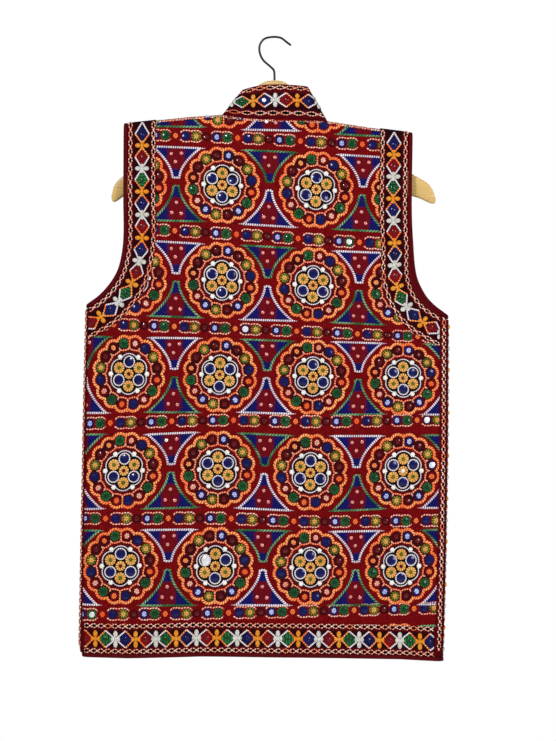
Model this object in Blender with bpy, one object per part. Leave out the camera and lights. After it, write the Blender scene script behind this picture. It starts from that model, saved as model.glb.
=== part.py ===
"""Embroidered vest on a wooden hanger, seen from its back, which faces -Y.

Metres, +Z up. The origin is the inner top of the hanger's hook, where a rail holds it.
The cloth is a set of thin walls. Each wall is planned flat, as points (x, z) seen from the
back, and then laid on the hung garment's form, whose sides and shoulders turn in a round.
"""

import math
from collections import namedtuple

import bmesh
import bpy
import numpy as np

# Cloth
WALL = 0.0020
BORDER = 0.0010
SEAM_GAP = 0.0003
TURN_RADIUS = 0.0100
TURN_STEPS = 4
BELLY = 0.0150
BELLY_REACH = 0.0800
FOLD_BLEND = 0.0150
HEM_WAVE = 0.0018
HEM_WAVE_LENGTH = 0.168
HEM_WAVE_REACH = 0.330
BACK_WAVE_PHASE = 0.9
FRONT_WAVE_PHASE = 2.4
HEM_LEVEL = -0.8480

# Binding and border strips
BINDING_WIDTH = 0.0060
BINDING_THICKNESS = 0.0030
BAND_WIDTH = 0.0380
SIDE_BAND_WIDTH = 0.0380
SIDE_BAND_ON_BACK_LEFT = 0.0036
SIDE_BAND_ON_BACK_RIGHT = 0.0110
HEM_BAND_HEIGHT = 0.0430
FRONT_EDGE_GAP = 0.0012
STRIP_LEVEL = -0.8450

# Collar
FRONT_NECK = -0.1720
FRONT_COLLAR_TOP = -0.1280

# Hanger
BAR_THICKNESS = 0.0120
BAR_EDGE_ROUND = 0.0035
BAR_EDGE_SEGMENTS = 2
BAR_EDGE_ANGLE = 60
HOOK_WIRE = 0.0030

# Spacing of the walls' sections
SIDE_ROWS = 10
SIDE_BAND_ROWS = 11
SEAM_POINTS = 24
ARMHOLE_STEPS = 14
NECK_CURVE_STEPS = 12
NECK_COLUMNS = 7
BACK_SHOULDER_COLUMNS = 6
FRONT_SHOULDER_COLUMNS = 5
WOOD_STEPS = 3
WIRE_STEPS = 3
HALVINGS = 40
TURN_CLEARANCE = 0.0008
MARK_CLEARANCE = 0.0040
STATION_CLEARANCE = 0.0010
SHARP_ANGLE = 50
COLLAR_SHARES = (0.33, 0.67, 1.0)
NECK_STEPS = (0.0, 0.0012, 0.0042, 0.0085, 0.0135)
BAND_ACROSS = (0.0, 0.25, 0.50, 0.75, 1.0)
FRONT_NECK_ANGLES = [math.radians(a) for a in (0, 4, 10, 20, 36, 54, 72, 90)]
ARMHOLE_STOPS = (0.09, 0.14, 0.19, 0.24, 0.30, 0.36, 0.43, 0.51, 0.62, 0.75, 0.88)

# Corners of a binding's flat oval section, in half widths and half thicknesses
Corner = namedtuple("Corner", "wide thick")
BINDING_SECTION = (
    Corner(wide=1.00, thick=0.45),
    Corner(wide=0.72, thick=1.00),
    Corner(wide=-0.72, thick=1.00),
    Corner(wide=-1.00, thick=0.45),
    Corner(wide=-1.00, thick=-0.45),
    Corner(wide=-0.72, thick=-1.00),
    Corner(wide=0.72, thick=-1.00),
    Corner(wide=1.00, thick=-0.45),
)

# Point the garment's form is centred on, and how far a probe is moved off a fold
MIDDLE = (-0.0120, -0.4500)
NUDGE = 2e-6

BACK = -1
FRONT = 1
LEFT = "left"
RIGHT = "right"

# The garment's outline in the back view, on the outer face of the border strips
Side = namedtuple("Side", "height left right")
SIDES = (
    Side(height=-0.8800, left=-0.2630, right=0.2308),
    Side(height=-0.8480, left=-0.2640, right=0.2309),
    Side(height=-0.8380, left=-0.2668, right=0.2313),
    Side(height=-0.8247, left=-0.2678, right=0.2320),
    Side(height=-0.7150, left=-0.2657, right=0.2350),
    Side(height=-0.5640, left=-0.2628, right=0.2377),
    Side(height=-0.4685, left=-0.2610, right=0.2382),
    Side(height=-0.3860, left=-0.2588, right=0.2385),
    Side(height=-0.3500, left=-0.2577, right=0.2385),
)

# Each armhole's outer edge, from outside the side seam to above the shoulder
Armhole = namedtuple("Armhole", "left_x left_z right_x right_z")
ARMHOLES = (
    Armhole(left_x=-0.3096, left_z=-0.3936, right_x=0.2842, right_z=-0.4248),
    Armhole(left_x=-0.2569, left_z=-0.3644, right_x=0.2385, right_z=-0.3860),
    Armhole(left_x=-0.2391, left_z=-0.3521, right_x=0.2191, right_z=-0.3696),
    Armhole(left_x=-0.2213, left_z=-0.3315, right_x=0.2055, right_z=-0.3524),
    Armhole(left_x=-0.2117, left_z=-0.3110, right_x=0.1939, right_z=-0.3255),
    Armhole(left_x=-0.2062, left_z=-0.2767, right_x=0.1892, right_z=-0.2809),
    Armhole(left_x=-0.2062, left_z=-0.2219, right_x=0.1873, right_z=-0.2329),
    Armhole(left_x=-0.2062, left_z=-0.1192, right_x=0.1890, right_z=-0.1302),
    Armhole(left_x=-0.2062, left_z=-0.0900, right_x=0.1895, right_z=-0.1000),
)

# Shoulder line from the armhole's side of it to the neck
Shoulder = namedtuple("Shoulder", "left_x left_z right_x right_z")
SHOULDERS = (
    Shoulder(left_x=-0.2400, left_z=-0.1212, right_x=0.2200, right_z=-0.1344),
    Shoulder(left_x=-0.2062, left_z=-0.1178, right_x=0.1884, right_z=-0.1302),
    Shoulder(left_x=-0.1158, left_z=-0.1082, right_x=0.1336, right_z=-0.1233),
    Shoulder(left_x=-0.0716, left_z=-0.1052, right_x=0.0725, right_z=-0.1140),
)

# Edge of the collar in the back view, from the neck corner to past its top
COLLAR_EDGE_LEFT = ((-0.0716, -0.1052), (-0.0445, -0.0715), (-0.0284, -0.0515))
COLLAR_EDGE_RIGHT = ((0.0725, -0.1140), (0.0460, -0.0670), (0.0320, -0.0422))

# Lower edge of the garment
Hem = namedtuple("Hem", "x z")
HEM = (
    Hem(x=-0.2700, z=-0.8470),
    Hem(x=-0.2000, z=-0.8482),
    Hem(x=-0.1020, z=-0.8453),
    Hem(x=0.0350, z=-0.8467),
    Hem(x=0.1720, z=-0.8494),
    Hem(x=0.2320, z=-0.8535),
)

# Seam between the back and the collar
NECK_SEAM = (
    (-0.0716, -0.1052),
    (-0.0430, -0.1096),
    (-0.0200, -0.1115),
    (0.0360, -0.1118),
    (0.0725, -0.1140),
)

COLLAR_TOP = (
    (-0.0445, -0.0715),
    (-0.0200, -0.0662),
    (0.0000, -0.0650),
    (0.0200, -0.0653),
    (0.0460, -0.0670),
)

# Line where the two fronts meet, from the hem to the neck
FRONT_LINE = ((-0.0175, -0.8480), (-0.0010, FRONT_NECK))

# Upper and lower edge of the hanger's bar, from the centre out to each tip
BAR_LEFT = (
    (0.0000, -0.0582),
    (-0.0120, -0.0598),
    (-0.0230, -0.0656),
    (-0.0340, -0.0745),
    (-0.0460, -0.0868),
    (-0.0575, -0.0988),
    (-0.0720, -0.1098),
    (-0.0900, -0.1195),
    (-0.1400, -0.1482),
    (-0.1800, -0.1725),
    (-0.2089, -0.1908),
    (-0.2188, -0.2015),
    (-0.2234, -0.2173),
    (-0.2220, -0.2235),
    (-0.2180, -0.2245),
    (-0.2080, -0.2178),
    (-0.1800, -0.2020),
    (-0.1400, -0.1785),
    (-0.0900, -0.1490),
    (-0.0450, -0.1240),
)
BAR_RIGHT = (
    (0.0120, -0.0598),
    (0.0220, -0.0662),
    (0.0340, -0.0780),
    (0.0480, -0.0935),
    (0.0600, -0.1065),
    (0.0725, -0.1179),
    (0.0900, -0.1280),
    (0.1400, -0.1560),
    (0.1880, -0.1860),
    (0.2080, -0.1978),
    (0.2165, -0.2080),
    (0.2208, -0.2212),
    (0.2195, -0.2262),
    (0.2145, -0.2268),
    (0.2010, -0.2206),
    (0.1850, -0.2150),
    (0.1400, -0.1890),
    (0.0900, -0.1570),
    (0.0450, -0.1280),
    (0.0000, -0.1130),
)

# Middle of the hook's wire, from the bar up and round to the tip
HOOK_LINE = (
    (0.0007, -0.0579),
    (0.0007, -0.0500),
    (-0.0010, -0.0440),
    (-0.0050, -0.0385),
    (-0.0115, -0.0330),
    (-0.0175, -0.0255),
    (-0.0207, -0.0160),
    (-0.0195, -0.0070),
    (-0.0135, -0.0010),
    (-0.0014, 0.0015),
    (0.0090, 0.0000),
    (0.0165, -0.0055),
    (0.0225, -0.0100),
)


def clear_scene():
    """Remove what the scene already holds."""
    for item in list(bpy.data.objects):
        bpy.data.objects.remove(item, do_unlink=True)


def make_material(name, colour, roughness, metallic=0.0):
    """A plain surface of one colour."""
    material = bpy.data.materials.new(name)
    material.use_nodes = True
    surface = material.node_tree.nodes["Principled BSDF"]
    surface.inputs["Base Color"].default_value = (*colour, 1.0)
    surface.inputs["Roughness"].default_value = roughness
    surface.inputs["Metallic"].default_value = metallic
    return material


def smooth_line(points, steps):
    """Points of a curve through the given ones, with so many steps between neighbours."""
    pts = [np.array(point, dtype=float) for point in points]
    ends = [2 * pts[0] - pts[1], *pts, 2 * pts[-1] - pts[-2]]
    line = []
    for before, start, end, after in zip(ends, ends[1:], ends[2:], ends[3:]):
        reach = np.linalg.norm(end - start)
        leave = (end - before) * reach / (np.linalg.norm(start - before) + reach)
        arrive = (after - start) * reach / (np.linalg.norm(after - end) + reach)
        for step in range(steps):
            t = step / steps
            line.append(
                (2 * t**3 - 3 * t**2 + 1) * start
                + (t**3 - 2 * t**2 + t) * leave
                + (3 * t**2 - 2 * t**3) * end
                + (t**3 - t**2) * arrive
            )
    line.append(pts[-1])
    return np.array(line)


def lengths_along(line):
    """Length from the first point to each point of a line."""
    steps = np.linalg.norm(np.diff(line, axis=0), axis=1)
    return np.concatenate(([0.0], np.cumsum(steps)))


def at_shares(line, shares):
    """Points of a line at shares of its length, from 0 to 1."""
    along = lengths_along(line)
    targets = np.asarray(shares) * along[-1]
    columns = [np.interp(targets, along, line[:, axis]) for axis in range(line.shape[1])]
    return np.stack(columns, axis=1)


def moved_in(line, distance, side):
    """A line moved sideways, towards the middle of the garment."""
    tangent = np.gradient(line, axis=0)
    tangent /= np.linalg.norm(tangent, axis=1)[:, None]
    turn = 1.0 if side == LEFT else -1.0
    inward = np.stack((tangent[:, 1], -tangent[:, 0]), axis=1) * turn
    return line + inward * distance


def side_x(height, side):
    """Where the panels' side seam lies at a height, under the border strip."""
    heights = [row.height for row in SIDES]
    places = [getattr(row, side) for row in SIDES]
    inset = (SEAM_GAP + BORDER) * (1 if side == LEFT else -1)
    return np.interp(height, heights, places) + inset


def shoulder_points(side):
    """The shoulder line's points, from outside the armhole to the neck."""
    return [(getattr(row, side + "_x"), getattr(row, side + "_z")) for row in SHOULDERS]


def shoulder_z(x, side):
    """Height of the shoulder line at x."""
    points = sorted(shoulder_points(side))
    return np.interp(x, [p[0] for p in points], [p[1] for p in points])


def fold_lines():
    """Lines where the garment's back turns into its front."""
    folds = []
    for side in (LEFT, RIGHT):
        folds.append([(side_x(row.height, side), row.height) for row in SIDES])
        folds.append(shoulder_points(side))
    folds.append(COLLAR_EDGE_LEFT)
    folds.append(COLLAR_EDGE_RIGHT)
    return [np.array(fold) for fold in folds]


FOLDS = fold_lines()


def nearest_on(line, point):
    """Closest point of a line to a point."""
    starts = line[:-1]
    runs = line[1:] - starts
    shares = np.sum((point - starts) * runs, axis=1) / np.sum(runs * runs, axis=1)
    feet = starts + runs * np.clip(shares, 0.0, 1.0)[:, None]
    return feet[np.argmin(np.sum((feet - point) ** 2, axis=1))]


def wave_at(x, z, face):
    """Soft vertical waves that grow towards the hem."""
    share = np.clip(1.0 - (z - HEM_LEVEL) / HEM_WAVE_REACH, 0.0, 1.0)
    phase = BACK_WAVE_PHASE if face == BACK else FRONT_WAVE_PHASE
    return HEM_WAVE * share**2 * math.sin(2 * math.pi * x / HEM_WAVE_LENGTH + phase)


def lay(point, out, face, joined=False):
    """Place a planned point on the hung form, so far out from the panel's outer face.

    A joined piece runs on through a fold; the others stop half a seam's gap before it.
    """
    point = np.array(point, dtype=float)
    inward = np.array(MIDDLE) - point
    probe = point + inward / np.linalg.norm(inward) * NUDGE
    feet = [nearest_on(fold, probe) for fold in FOLDS]
    spans = [float(np.linalg.norm(probe - foot)) for foot in feet]
    nearest = int(np.argmin(spans))
    towards_fold = (feet[nearest] - probe) / spans[nearest]
    cosine = max(1.0 - spans[nearest] / TURN_RADIUS, 0.0)
    sine = math.sqrt(1.0 - cosine**2)
    blended = -FOLD_BLEND * math.log(sum(math.exp(-span / FOLD_BLEND) for span in spans))
    fullness = 1.0 - math.exp(-max(blended, 0.0) / BELLY_REACH)
    swell = fullness * (BELLY + wave_at(point[0], point[1], face))
    gap = SEAM_GAP / 2 * (sine if joined else 1.0)
    depth = gap + (TURN_RADIUS + out) * sine + swell
    place = point + towards_fold * cosine * out
    return (place[0], face * depth, place[1])


def turn_offsets():
    """Distances from a fold at which the turn's facets meet."""
    angles = [math.pi / 2 * step / TURN_STEPS for step in range(TURN_STEPS + 1)]
    return [TURN_RADIUS * (1.0 - math.cos(angle)) for angle in angles]


def armhole_curve(side, inset):
    """An armhole's edge moved in, with loose ends past the side seam and the shoulder."""
    rows = [(getattr(row, side + "_x"), getattr(row, side + "_z")) for row in ARMHOLES]
    return moved_in(smooth_line(rows, ARMHOLE_STEPS), inset, side)


def armhole_line(side, inset):
    """An armhole's edge moved in, from the side seam to the shoulder line."""
    line = armhole_curve(side, inset)
    sign = 1 if side == LEFT else -1
    inside = [
        sign * (x - side_x(z, side)) > 0 and z < shoulder_z(x, side) for x, z in line
    ]
    first = inside.index(True)
    last = len(inside) - 1 - inside[::-1].index(True)
    start = cross_point(line[first - 1], line[first], side, True)
    end = cross_point(line[last + 1], line[last], side, False)
    return np.array([start, *line[first : last + 1], end])


def cross_point(outside, inside, side, at_side_seam):
    """Where the step between two points crosses the side seam or the shoulder line."""
    sign = 1 if side == LEFT else -1
    for _ in range(HALVINGS):
        middle = (outside + inside) / 2
        if at_side_seam:
            within = sign * (middle[0] - side_x(middle[1], side)) > 0
        else:
            within = middle[1] < shoulder_z(middle[0], side)
        if within:
            inside = middle
        else:
            outside = middle
    return inside


def hem_z(x, rise):
    """Height of the hem at x, so far up from the garment's lower edge."""
    return np.interp(x, [row.x for row in HEM], [row.z for row in HEM]) + rise


def side_line(side, low, high):
    """The side seam between two heights."""
    heights = np.linspace(low, high, SEAM_POINTS)
    return np.array([(side_x(z, side), z) for z in heights])


def hem_corner(side, rise):
    """Where the side seam meets a line so far above the hem."""
    z = hem_z(side_x(HEM_LEVEL, side), rise)
    return np.array((side_x(z, side), z))


def filled(left, right, bottom, top, across, up):
    """Plan a four-sided patch from its edges, at given shares across and up."""
    rows = []
    for low, v in enumerate(up):
        row = []
        for col, u in enumerate(across):
            edge = (1 - u) * left[low] + u * right[low]
            ends = (1 - v) * bottom[col] + v * top[col]
            corners = (1 - v) * ((1 - u) * bottom[0] + u * bottom[-1])
            corners = corners + v * ((1 - u) * top[0] + u * top[-1])
            row.append(edge + ends - corners)
        rows.append(row)
    return rows


def wall_sections(plan, inner, outer, face):
    """Closed sections of a wall, one for each row of its plan."""
    sections = []
    for row in plan:
        front = [lay(point, outer, face) for point in row]
        back = [lay(point, inner, face) for point in reversed(row)]
        sections.append(front + back)
    return sections


def loft(name, sections, material, ring=False):
    """Skin closed sections in order into one solid, closed at its ends or in a ring."""
    bm = bmesh.new()
    loops = [[bm.verts.new(point) for point in section] for section in sections]
    count = len(loops[0])
    pairs = list(zip(loops, loops[1:]))
    if ring:
        pairs.append((loops[-1], loops[0]))
    for lower, upper in pairs:
        for k in range(count):
            n = (k + 1) % count
            bm.faces.new((lower[k], lower[n], upper[n], upper[k]))
    if not ring:
        for loop in (loops[0], loops[-1]):
            for k in range(count // 2 - 1):
                mate = count - 1 - k
                bm.faces.new((loop[k], loop[k + 1], loop[mate - 1], loop[mate]))
    bmesh.ops.recalc_face_normals(bm, faces=bm.faces[:])
    if bm.calc_volume(signed=True) < 0:
        bmesh.ops.reverse_faces(bm, faces=bm.faces[:])
    return finish(name, bm, material)


def finish(name, bm, material):
    """Turn a bmesh into a named object of the scene, shaded smooth but for its edges."""
    mesh = bpy.data.meshes.new(name)
    bm.to_mesh(mesh)
    bm.free()
    mesh.materials.append(material)
    mesh.shade_smooth()
    mesh.set_sharp_from_angle(angle=math.radians(SHARP_ANGLE))
    item = bpy.data.objects.new(name, mesh)
    bpy.context.collection.objects.link(item)
    return item


def seam_distances(line, side):
    """Distance in from the side seam at each point of a line."""
    sign = 1 if side == LEFT else -1
    return sign * (line[:, 0] - np.array([side_x(z, side) for z in line[:, 1]]))


def armhole_marks(side, inset, clear):
    """Points square in from marks on an armhole's edge, so that neighbours run parallel."""
    edge = armhole_curve(side, 0.0)
    along = lengths_along(edge)
    gaps = seam_distances(edge, side)
    start = np.interp(0.0, gaps[: len(gaps) // 2], along[: len(gaps) // 2])
    end = along[-1] - (edge[-1][1] - shoulder_z(edge[-1][0], side))
    stops = start + np.array(ARMHOLE_STOPS) * (end - start)
    room = max(clear, TURN_RADIUS) + MARK_CLEARANCE
    stops = stops[np.interp(stops, along, gaps) > room]
    moved = armhole_curve(side, inset)
    return np.stack([np.interp(stops, along, moved[:, axis]) for axis in (0, 1)], axis=1)


def armhole_stations(side, inset, clear=0.0):
    """An armhole's line, closer where it bends and where it turns over a fold."""
    line = armhole_line(side, inset)
    along = lengths_along(line)
    climbing = len(line) // 2
    gaps = seam_distances(line, side)[:climbing]
    turns = [offset for offset in turn_offsets() if offset > clear + TURN_CLEARANCE]
    near_seam = np.interp([clear, *turns], gaps, along[:climbing])
    near_shoulder = [along[-1] - offset for offset in reversed(turn_offsets())]
    lower = at_shares(line, near_seam / along[-1])
    marks = armhole_marks(side, inset, clear)
    upper = at_shares(line, np.array(near_shoulder) / along[-1])
    first_mark = along[np.argmin(np.linalg.norm(line - marks[0], axis=1))]
    between = at_shares(line, [(near_seam[-1] + first_mark) / 2 / along[-1]])
    return np.array([*lower, *between, *marks, *upper])


def panel_edge(side):
    """A panel's outer edge, up the side seam and round the armhole to the shoulder."""
    armhole = armhole_line(side, BINDING_WIDTH + SEAM_GAP)
    low = hem_corner(side, BINDING_WIDTH + SEAM_GAP)
    seam = side_line(side, low[1], armhole[0][1])
    lower = at_shares(seam, np.linspace(0, 1, SIDE_ROWS + 1))[:-1]
    upper = armhole_stations(side, BINDING_WIDTH + SEAM_GAP)
    return np.concatenate((lower, upper))


def height_shares(edge):
    """Share of an edge's whole height at each of its points."""
    return (edge[:, 1] - edge[0, 1]) / (edge[-1, 1] - edge[0, 1])


def neck_stations():
    """Places along the back's neck seam, closer at its corners, where the cloth turns."""
    seam = smooth_line(NECK_SEAM, NECK_CURVE_STEPS)
    start, end = seam[0][0], seam[-1][0]
    xs = [start + step for step in NECK_STEPS]
    xs += list(np.linspace(xs[-1], end - NECK_STEPS[-1], NECK_COLUMNS))[1:-1]
    xs += [end - step for step in reversed(NECK_STEPS)]
    return np.array([(x, np.interp(x, seam[:, 0], seam[:, 1])) for x in xs])


def back_top(left_end, right_end):
    """Upper edge of the back, along both shoulders and the neck seam."""
    neck = neck_stations()
    start, end = neck[0][0], neck[-1][0]
    left_x = [left_end[0] + offset for offset in turn_offsets()]
    left_x += list(np.linspace(left_x[-1], start, BACK_SHOULDER_COLUMNS))[1:-1]
    last_x = right_end[0] - TURN_RADIUS
    right_x = list(np.linspace(end, last_x, BACK_SHOULDER_COLUMNS))[1:]
    right_x += [right_end[0] - offset for offset in reversed(turn_offsets()[:-1])]
    left = [left_end, *[(x, shoulder_z(x, LEFT)) for x in left_x[1:]]]
    right = [*[(x, shoulder_z(x, RIGHT)) for x in right_x[:-1]], right_end]
    return np.array([*left, *neck, *right])


def back_edges():
    """The back's left, right, lower and upper edge, and its columns' shares across."""
    left = panel_edge(LEFT)
    right = panel_edge(RIGHT)
    top = back_top(left[-1], right[-1])
    across = (top[:, 0] - top[0, 0]) / (top[-1, 0] - top[0, 0])
    wide = right[0][0] - left[0][0]
    turns = [offset / wide for offset in turn_offsets()]
    across[: len(turns)] = turns
    across[-len(turns) :] = [1 - turn for turn in reversed(turns)]
    across[0], across[-1] = 0.0, 1.0
    xs = left[0][0] + across * wide
    rise = BINDING_WIDTH + SEAM_GAP
    bottom = np.array([left[0], *[(x, hem_z(x, rise)) for x in xs[1:-1]], right[0]])
    return left, right, bottom, top, across


def make_back(cloth):
    """The back, from the hem binding to the shoulders and the neck seam."""
    left, right, bottom, top, across = back_edges()
    up = (height_shares(left) + height_shares(right)) / 2
    plan = filled(left, right, bottom, top, across, up)
    return loft("back_panel", wall_sections(plan, -WALL, 0.0, BACK), cloth)


def front_line_x(z, side):
    """Edge of a front at the centre, at a height."""
    (low_x, low_z), (high_x, high_z) = FRONT_LINE
    middle = np.interp(z, (low_z, high_z), (low_x, high_x))
    return middle + FRONT_EDGE_GAP / 2 * (-1 if side == LEFT else 1)


def neck_corner(side):
    """Where the shoulder line meets the collar."""
    return np.array(NECK_SEAM[0] if side == LEFT else NECK_SEAM[-1])


def front_neck(side, angles):
    """The front's neck seam, from the shoulder down to the centre."""
    corner = neck_corner(side)
    end_x = front_line_x(FRONT_NECK, side)
    return [
        (
            end_x + (corner[0] - end_x) * math.cos(angle),
            corner[1] + (FRONT_NECK - corner[1]) * math.sin(angle),
        )
        for angle in angles
    ]


def front_edges(side):
    """A front's outer, centre, lower and upper edge, and its columns' shares across."""
    outer = panel_edge(side)
    corner = neck_corner(side)
    sign = 1 if side == LEFT else -1
    xs = [outer[-1][0] + sign * offset for offset in turn_offsets()[1:]]
    xs += list(np.linspace(xs[-1], corner[0], FRONT_SHOULDER_COLUMNS))[1:-1]
    shoulder = [outer[-1], *[(x, shoulder_z(x, side)) for x in xs]]
    top = np.array([*shoulder, *front_neck(side, FRONT_NECK_ANGLES)])
    rise = BINDING_WIDTH + SEAM_GAP
    low_x = front_line_x(hem_z(0.0, rise), side)
    across = lengths_along(top) / lengths_along(top)[-1]
    wide = abs(low_x - outer[0][0])
    turns = turn_offsets()
    across[1 : len(turns)] = [offset / wide for offset in turns[1:]]
    xs = outer[0][0] + across * (low_x - outer[0][0])
    bottom = np.array([outer[0], *[(x, hem_z(x, rise)) for x in xs[1:]]])
    up = height_shares(outer)
    heights = bottom[-1][1] + up * (FRONT_NECK - bottom[-1][1])
    middle = np.array([(front_line_x(z, side), z) for z in heights])
    top[-1] = middle[-1]
    return outer, middle, bottom, top, across


def make_front(side, cloth):
    """One front, from its side seam to the centre."""
    outer, middle, bottom, top, across = front_edges(side)
    plan = filled(outer, middle, bottom, top, across, height_shares(outer))
    return loft(f"front_{side}", wall_sections(plan, -WALL, 0.0, FRONT), cloth)


def collar_columns():
    """Base and top of the collar at each place round it, from front to front."""
    columns = []
    angles = FRONT_NECK_ANGLES[1:]
    for side in (LEFT, RIGHT):
        top_corner = np.array(COLLAR_TOP[0] if side == LEFT else COLLAR_TOP[-1])
        end_x = front_line_x(FRONT_NECK, side)
        bases = front_neck(side, angles)
        tops = [
            (
                end_x + (top_corner[0] - end_x) * math.cos(angle),
                top_corner[1] + (FRONT_COLLAR_TOP - top_corner[1]) * math.sin(angle),
            )
            for angle in angles
        ]
        front = [(FRONT, np.array(b), np.array(t)) for b, t in zip(bases, tops)]
        columns.append(front)
    bases = neck_stations()
    edge = smooth_line(COLLAR_TOP, NECK_CURVE_STEPS)
    back = []
    for base in bases:
        share = (base[0] - bases[0][0]) / (bases[-1][0] - bases[0][0])
        top_x = edge[0][0] + share * (edge[-1][0] - edge[0][0])
        top = np.array((top_x, np.interp(top_x, edge[:, 0], edge[:, 1])))
        back.append((BACK, base, top))
    return list(reversed(columns[0])) + back + columns[1]


def make_collar(cloth):
    """The stand collar, one wall round the neck that is open at the front."""
    sections = []
    for face, base, top in collar_columns():
        height = np.linalg.norm(top - base)
        outer = []
        inner = []
        for share in (SEAM_GAP / height, *COLLAR_SHARES):
            point = base + (top - base) * share
            outer.append(lay(point, 0.0, face, True))
            inner.append(lay(point, -WALL, face, True))
        sections.append(outer + inner[::-1])
    return loft("collar", sections, cloth)


def band_plan(side, face):
    """Plan of the border strip round an armhole, between shoulder and side strip."""
    clear = side_band_reach(side, face) + SEAM_GAP
    near = armhole_stations(side, BINDING_WIDTH + 3 * SEAM_GAP, clear)
    far = armhole_stations(side, BINDING_WIDTH + SEAM_GAP + BAND_WIDTH, clear)
    return [[a + (b - a) * share for share in BAND_ACROSS] for a, b in zip(near, far)]


def side_band_reach(side, face):
    """How far the side strip reaches in from the side seam on one face."""
    on_back = SIDE_BAND_ON_BACK_LEFT if side == LEFT else SIDE_BAND_ON_BACK_RIGHT
    return on_back if face == BACK else SIDE_BAND_WIDTH - on_back


def make_armhole_band(side, face, strip):
    """Border strip round one armhole on one face."""
    where = "back" if face == BACK else "front"
    plan = band_plan(side, face)
    sections = wall_sections(plan, SEAM_GAP, SEAM_GAP + BORDER, face)
    return loft(f"armhole_band_{where}_{side}", sections, strip)


def make_side_band(side, strip):
    """Border strip that covers a side seam, round from the back to the front."""
    armhole = armhole_line(side, BINDING_WIDTH + 2 * SEAM_GAP)
    sign = 1 if side == LEFT else -1
    low_rise = BINDING_WIDTH + SEAM_GAP
    columns = []
    for face in (BACK, FRONT):
        reach = side_band_reach(side, face)
        offsets = [offset for offset in turn_offsets() if offset < reach - TURN_CLEARANCE]
        if reach > 2 * TURN_RADIUS:
            offsets.append((reach + TURN_RADIUS) / 2)
        offsets.append(reach)
        columns.append([(face, offset) for offset in offsets])
    order = list(reversed(columns[0])) + columns[1][1:]
    gaps = seam_distances(armhole, side)
    half = len(gaps) // 2
    sections = []
    for face, offset in order:
        high = np.interp(offset, gaps[:half], armhole[:half, 1])
        low = hem_z(side_x(STRIP_LEVEL, side) + sign * offset, low_rise)
        outer = []
        inner = []
        for z in np.linspace(low, high, SIDE_BAND_ROWS):
            point = (side_x(z, side) + sign * offset, z)
            outer.append(lay(point, SEAM_GAP + BORDER, face, True))
            inner.append(lay(point, SEAM_GAP, face, True))
        sections.append(outer + inner[::-1])
    return loft(f"side_band_{side}", sections, strip)


def hem_stations(face, side):
    """Places along the hem where a panel's columns end."""
    if face == BACK:
        return back_edges()[2][:, 0]
    return front_edges(side)[2][:, 0]


def make_hem_band(face, side, strip):
    """Border strip along the hem, between the side strips."""
    low = side_x(STRIP_LEVEL, LEFT) + side_band_reach(LEFT, face) + SEAM_GAP
    high = side_x(STRIP_LEVEL, RIGHT) - side_band_reach(RIGHT, face) - SEAM_GAP
    stations = sorted(hem_stations(face, side))
    low = max(low, stations[0])
    high = min(high, stations[-1])
    first, last = low + STATION_CLEARANCE, high - STATION_CLEARANCE
    xs = [low, *[x for x in stations if first < x < last], high]
    rises = (BINDING_WIDTH + 2 * SEAM_GAP, HEM_BAND_HEIGHT)
    plan = [[(x, hem_z(x, rise)) for x in xs] for rise in rises]
    name = "hem_band_back" if face == BACK else f"hem_band_front_{side}"
    sections = wall_sections(plan, SEAM_GAP, SEAM_GAP + BORDER, face)
    return loft(name, sections, strip)


def make_hem_binding(face, side, cloth):
    """Plain binding along the lower edge, from seam to seam."""
    xs = hem_stations(face, side)
    plan = [[(x, hem_z(x, rise)) for x in xs] for rise in (0.0, BINDING_WIDTH)]
    name = "hem_binding_back" if face == BACK else f"hem_binding_front_{side}"
    sections = wall_sections(plan, -WALL, BORDER, face)
    return loft(name, sections, cloth)


def ring_line(side):
    """Middle of an armhole's binding, once round: up the back and down the front."""
    points = armhole_stations(side, BINDING_WIDTH / 2)
    back = [(point, BACK) for point in points]
    front = [(point, FRONT) for point in points[-2:0:-1]]
    return back + front


def make_binding(side, cloth):
    """Plain binding round an armhole, one flat closed ring."""
    places = ring_line(side)
    middle = (BORDER - WALL) / 2
    mids = [np.array(lay(point, middle, face, True)) for point, face in places]
    tops = [np.array(lay(point, BORDER, face, True)) for point, face in places]
    sections = []
    for k, centre in enumerate(mids):
        along = mids[(k + 1) % len(mids)] - mids[k - 1]
        along /= np.linalg.norm(along)
        out = tops[k] - centre
        out -= along * np.dot(out, along)
        out /= np.linalg.norm(out)
        wide = np.cross(along, out)
        sections.append(binding_section(centre, wide, out))
    return loft(f"armhole_binding_{side}", sections, cloth, ring=True)


def binding_section(centre, wide, out):
    """Flat oval section of a binding."""
    half_width = BINDING_WIDTH / 2
    half_thick = BINDING_THICKNESS / 2
    return [
        tuple(centre + wide * half_width * corner.wide + out * half_thick * corner.thick)
        for corner in BINDING_SECTION
    ]


def make_bar(wood):
    """The hanger's bar, cut from one board and rounded along its edges."""
    outline = smooth_line((*BAR_LEFT, BAR_RIGHT[-1]), WOOD_STEPS)[:-1]
    back_way = smooth_line((BAR_LEFT[0], *BAR_RIGHT), WOOD_STEPS)
    points = [*outline, *back_way[:0:-1]]
    bm = bmesh.new()
    corners = [bm.verts.new((x, -BAR_THICKNESS / 2, z)) for x, z in points]
    face = bm.faces.new(corners)
    grown = bmesh.ops.extrude_face_region(bm, geom=[face])
    moved = [item for item in grown["geom"] if isinstance(item, bmesh.types.BMVert)]
    bmesh.ops.translate(bm, verts=moved, vec=(0.0, BAR_THICKNESS, 0.0))
    bmesh.ops.recalc_face_normals(bm, faces=bm.faces[:])
    item = finish("hanger_bar", bm, wood)
    rounding = item.modifiers.new("edge_round", "BEVEL")
    rounding.width = BAR_EDGE_ROUND
    rounding.segments = BAR_EDGE_SEGMENTS
    rounding.limit_method = "ANGLE"
    rounding.angle_limit = math.radians(BAR_EDGE_ANGLE)
    return item


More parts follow.
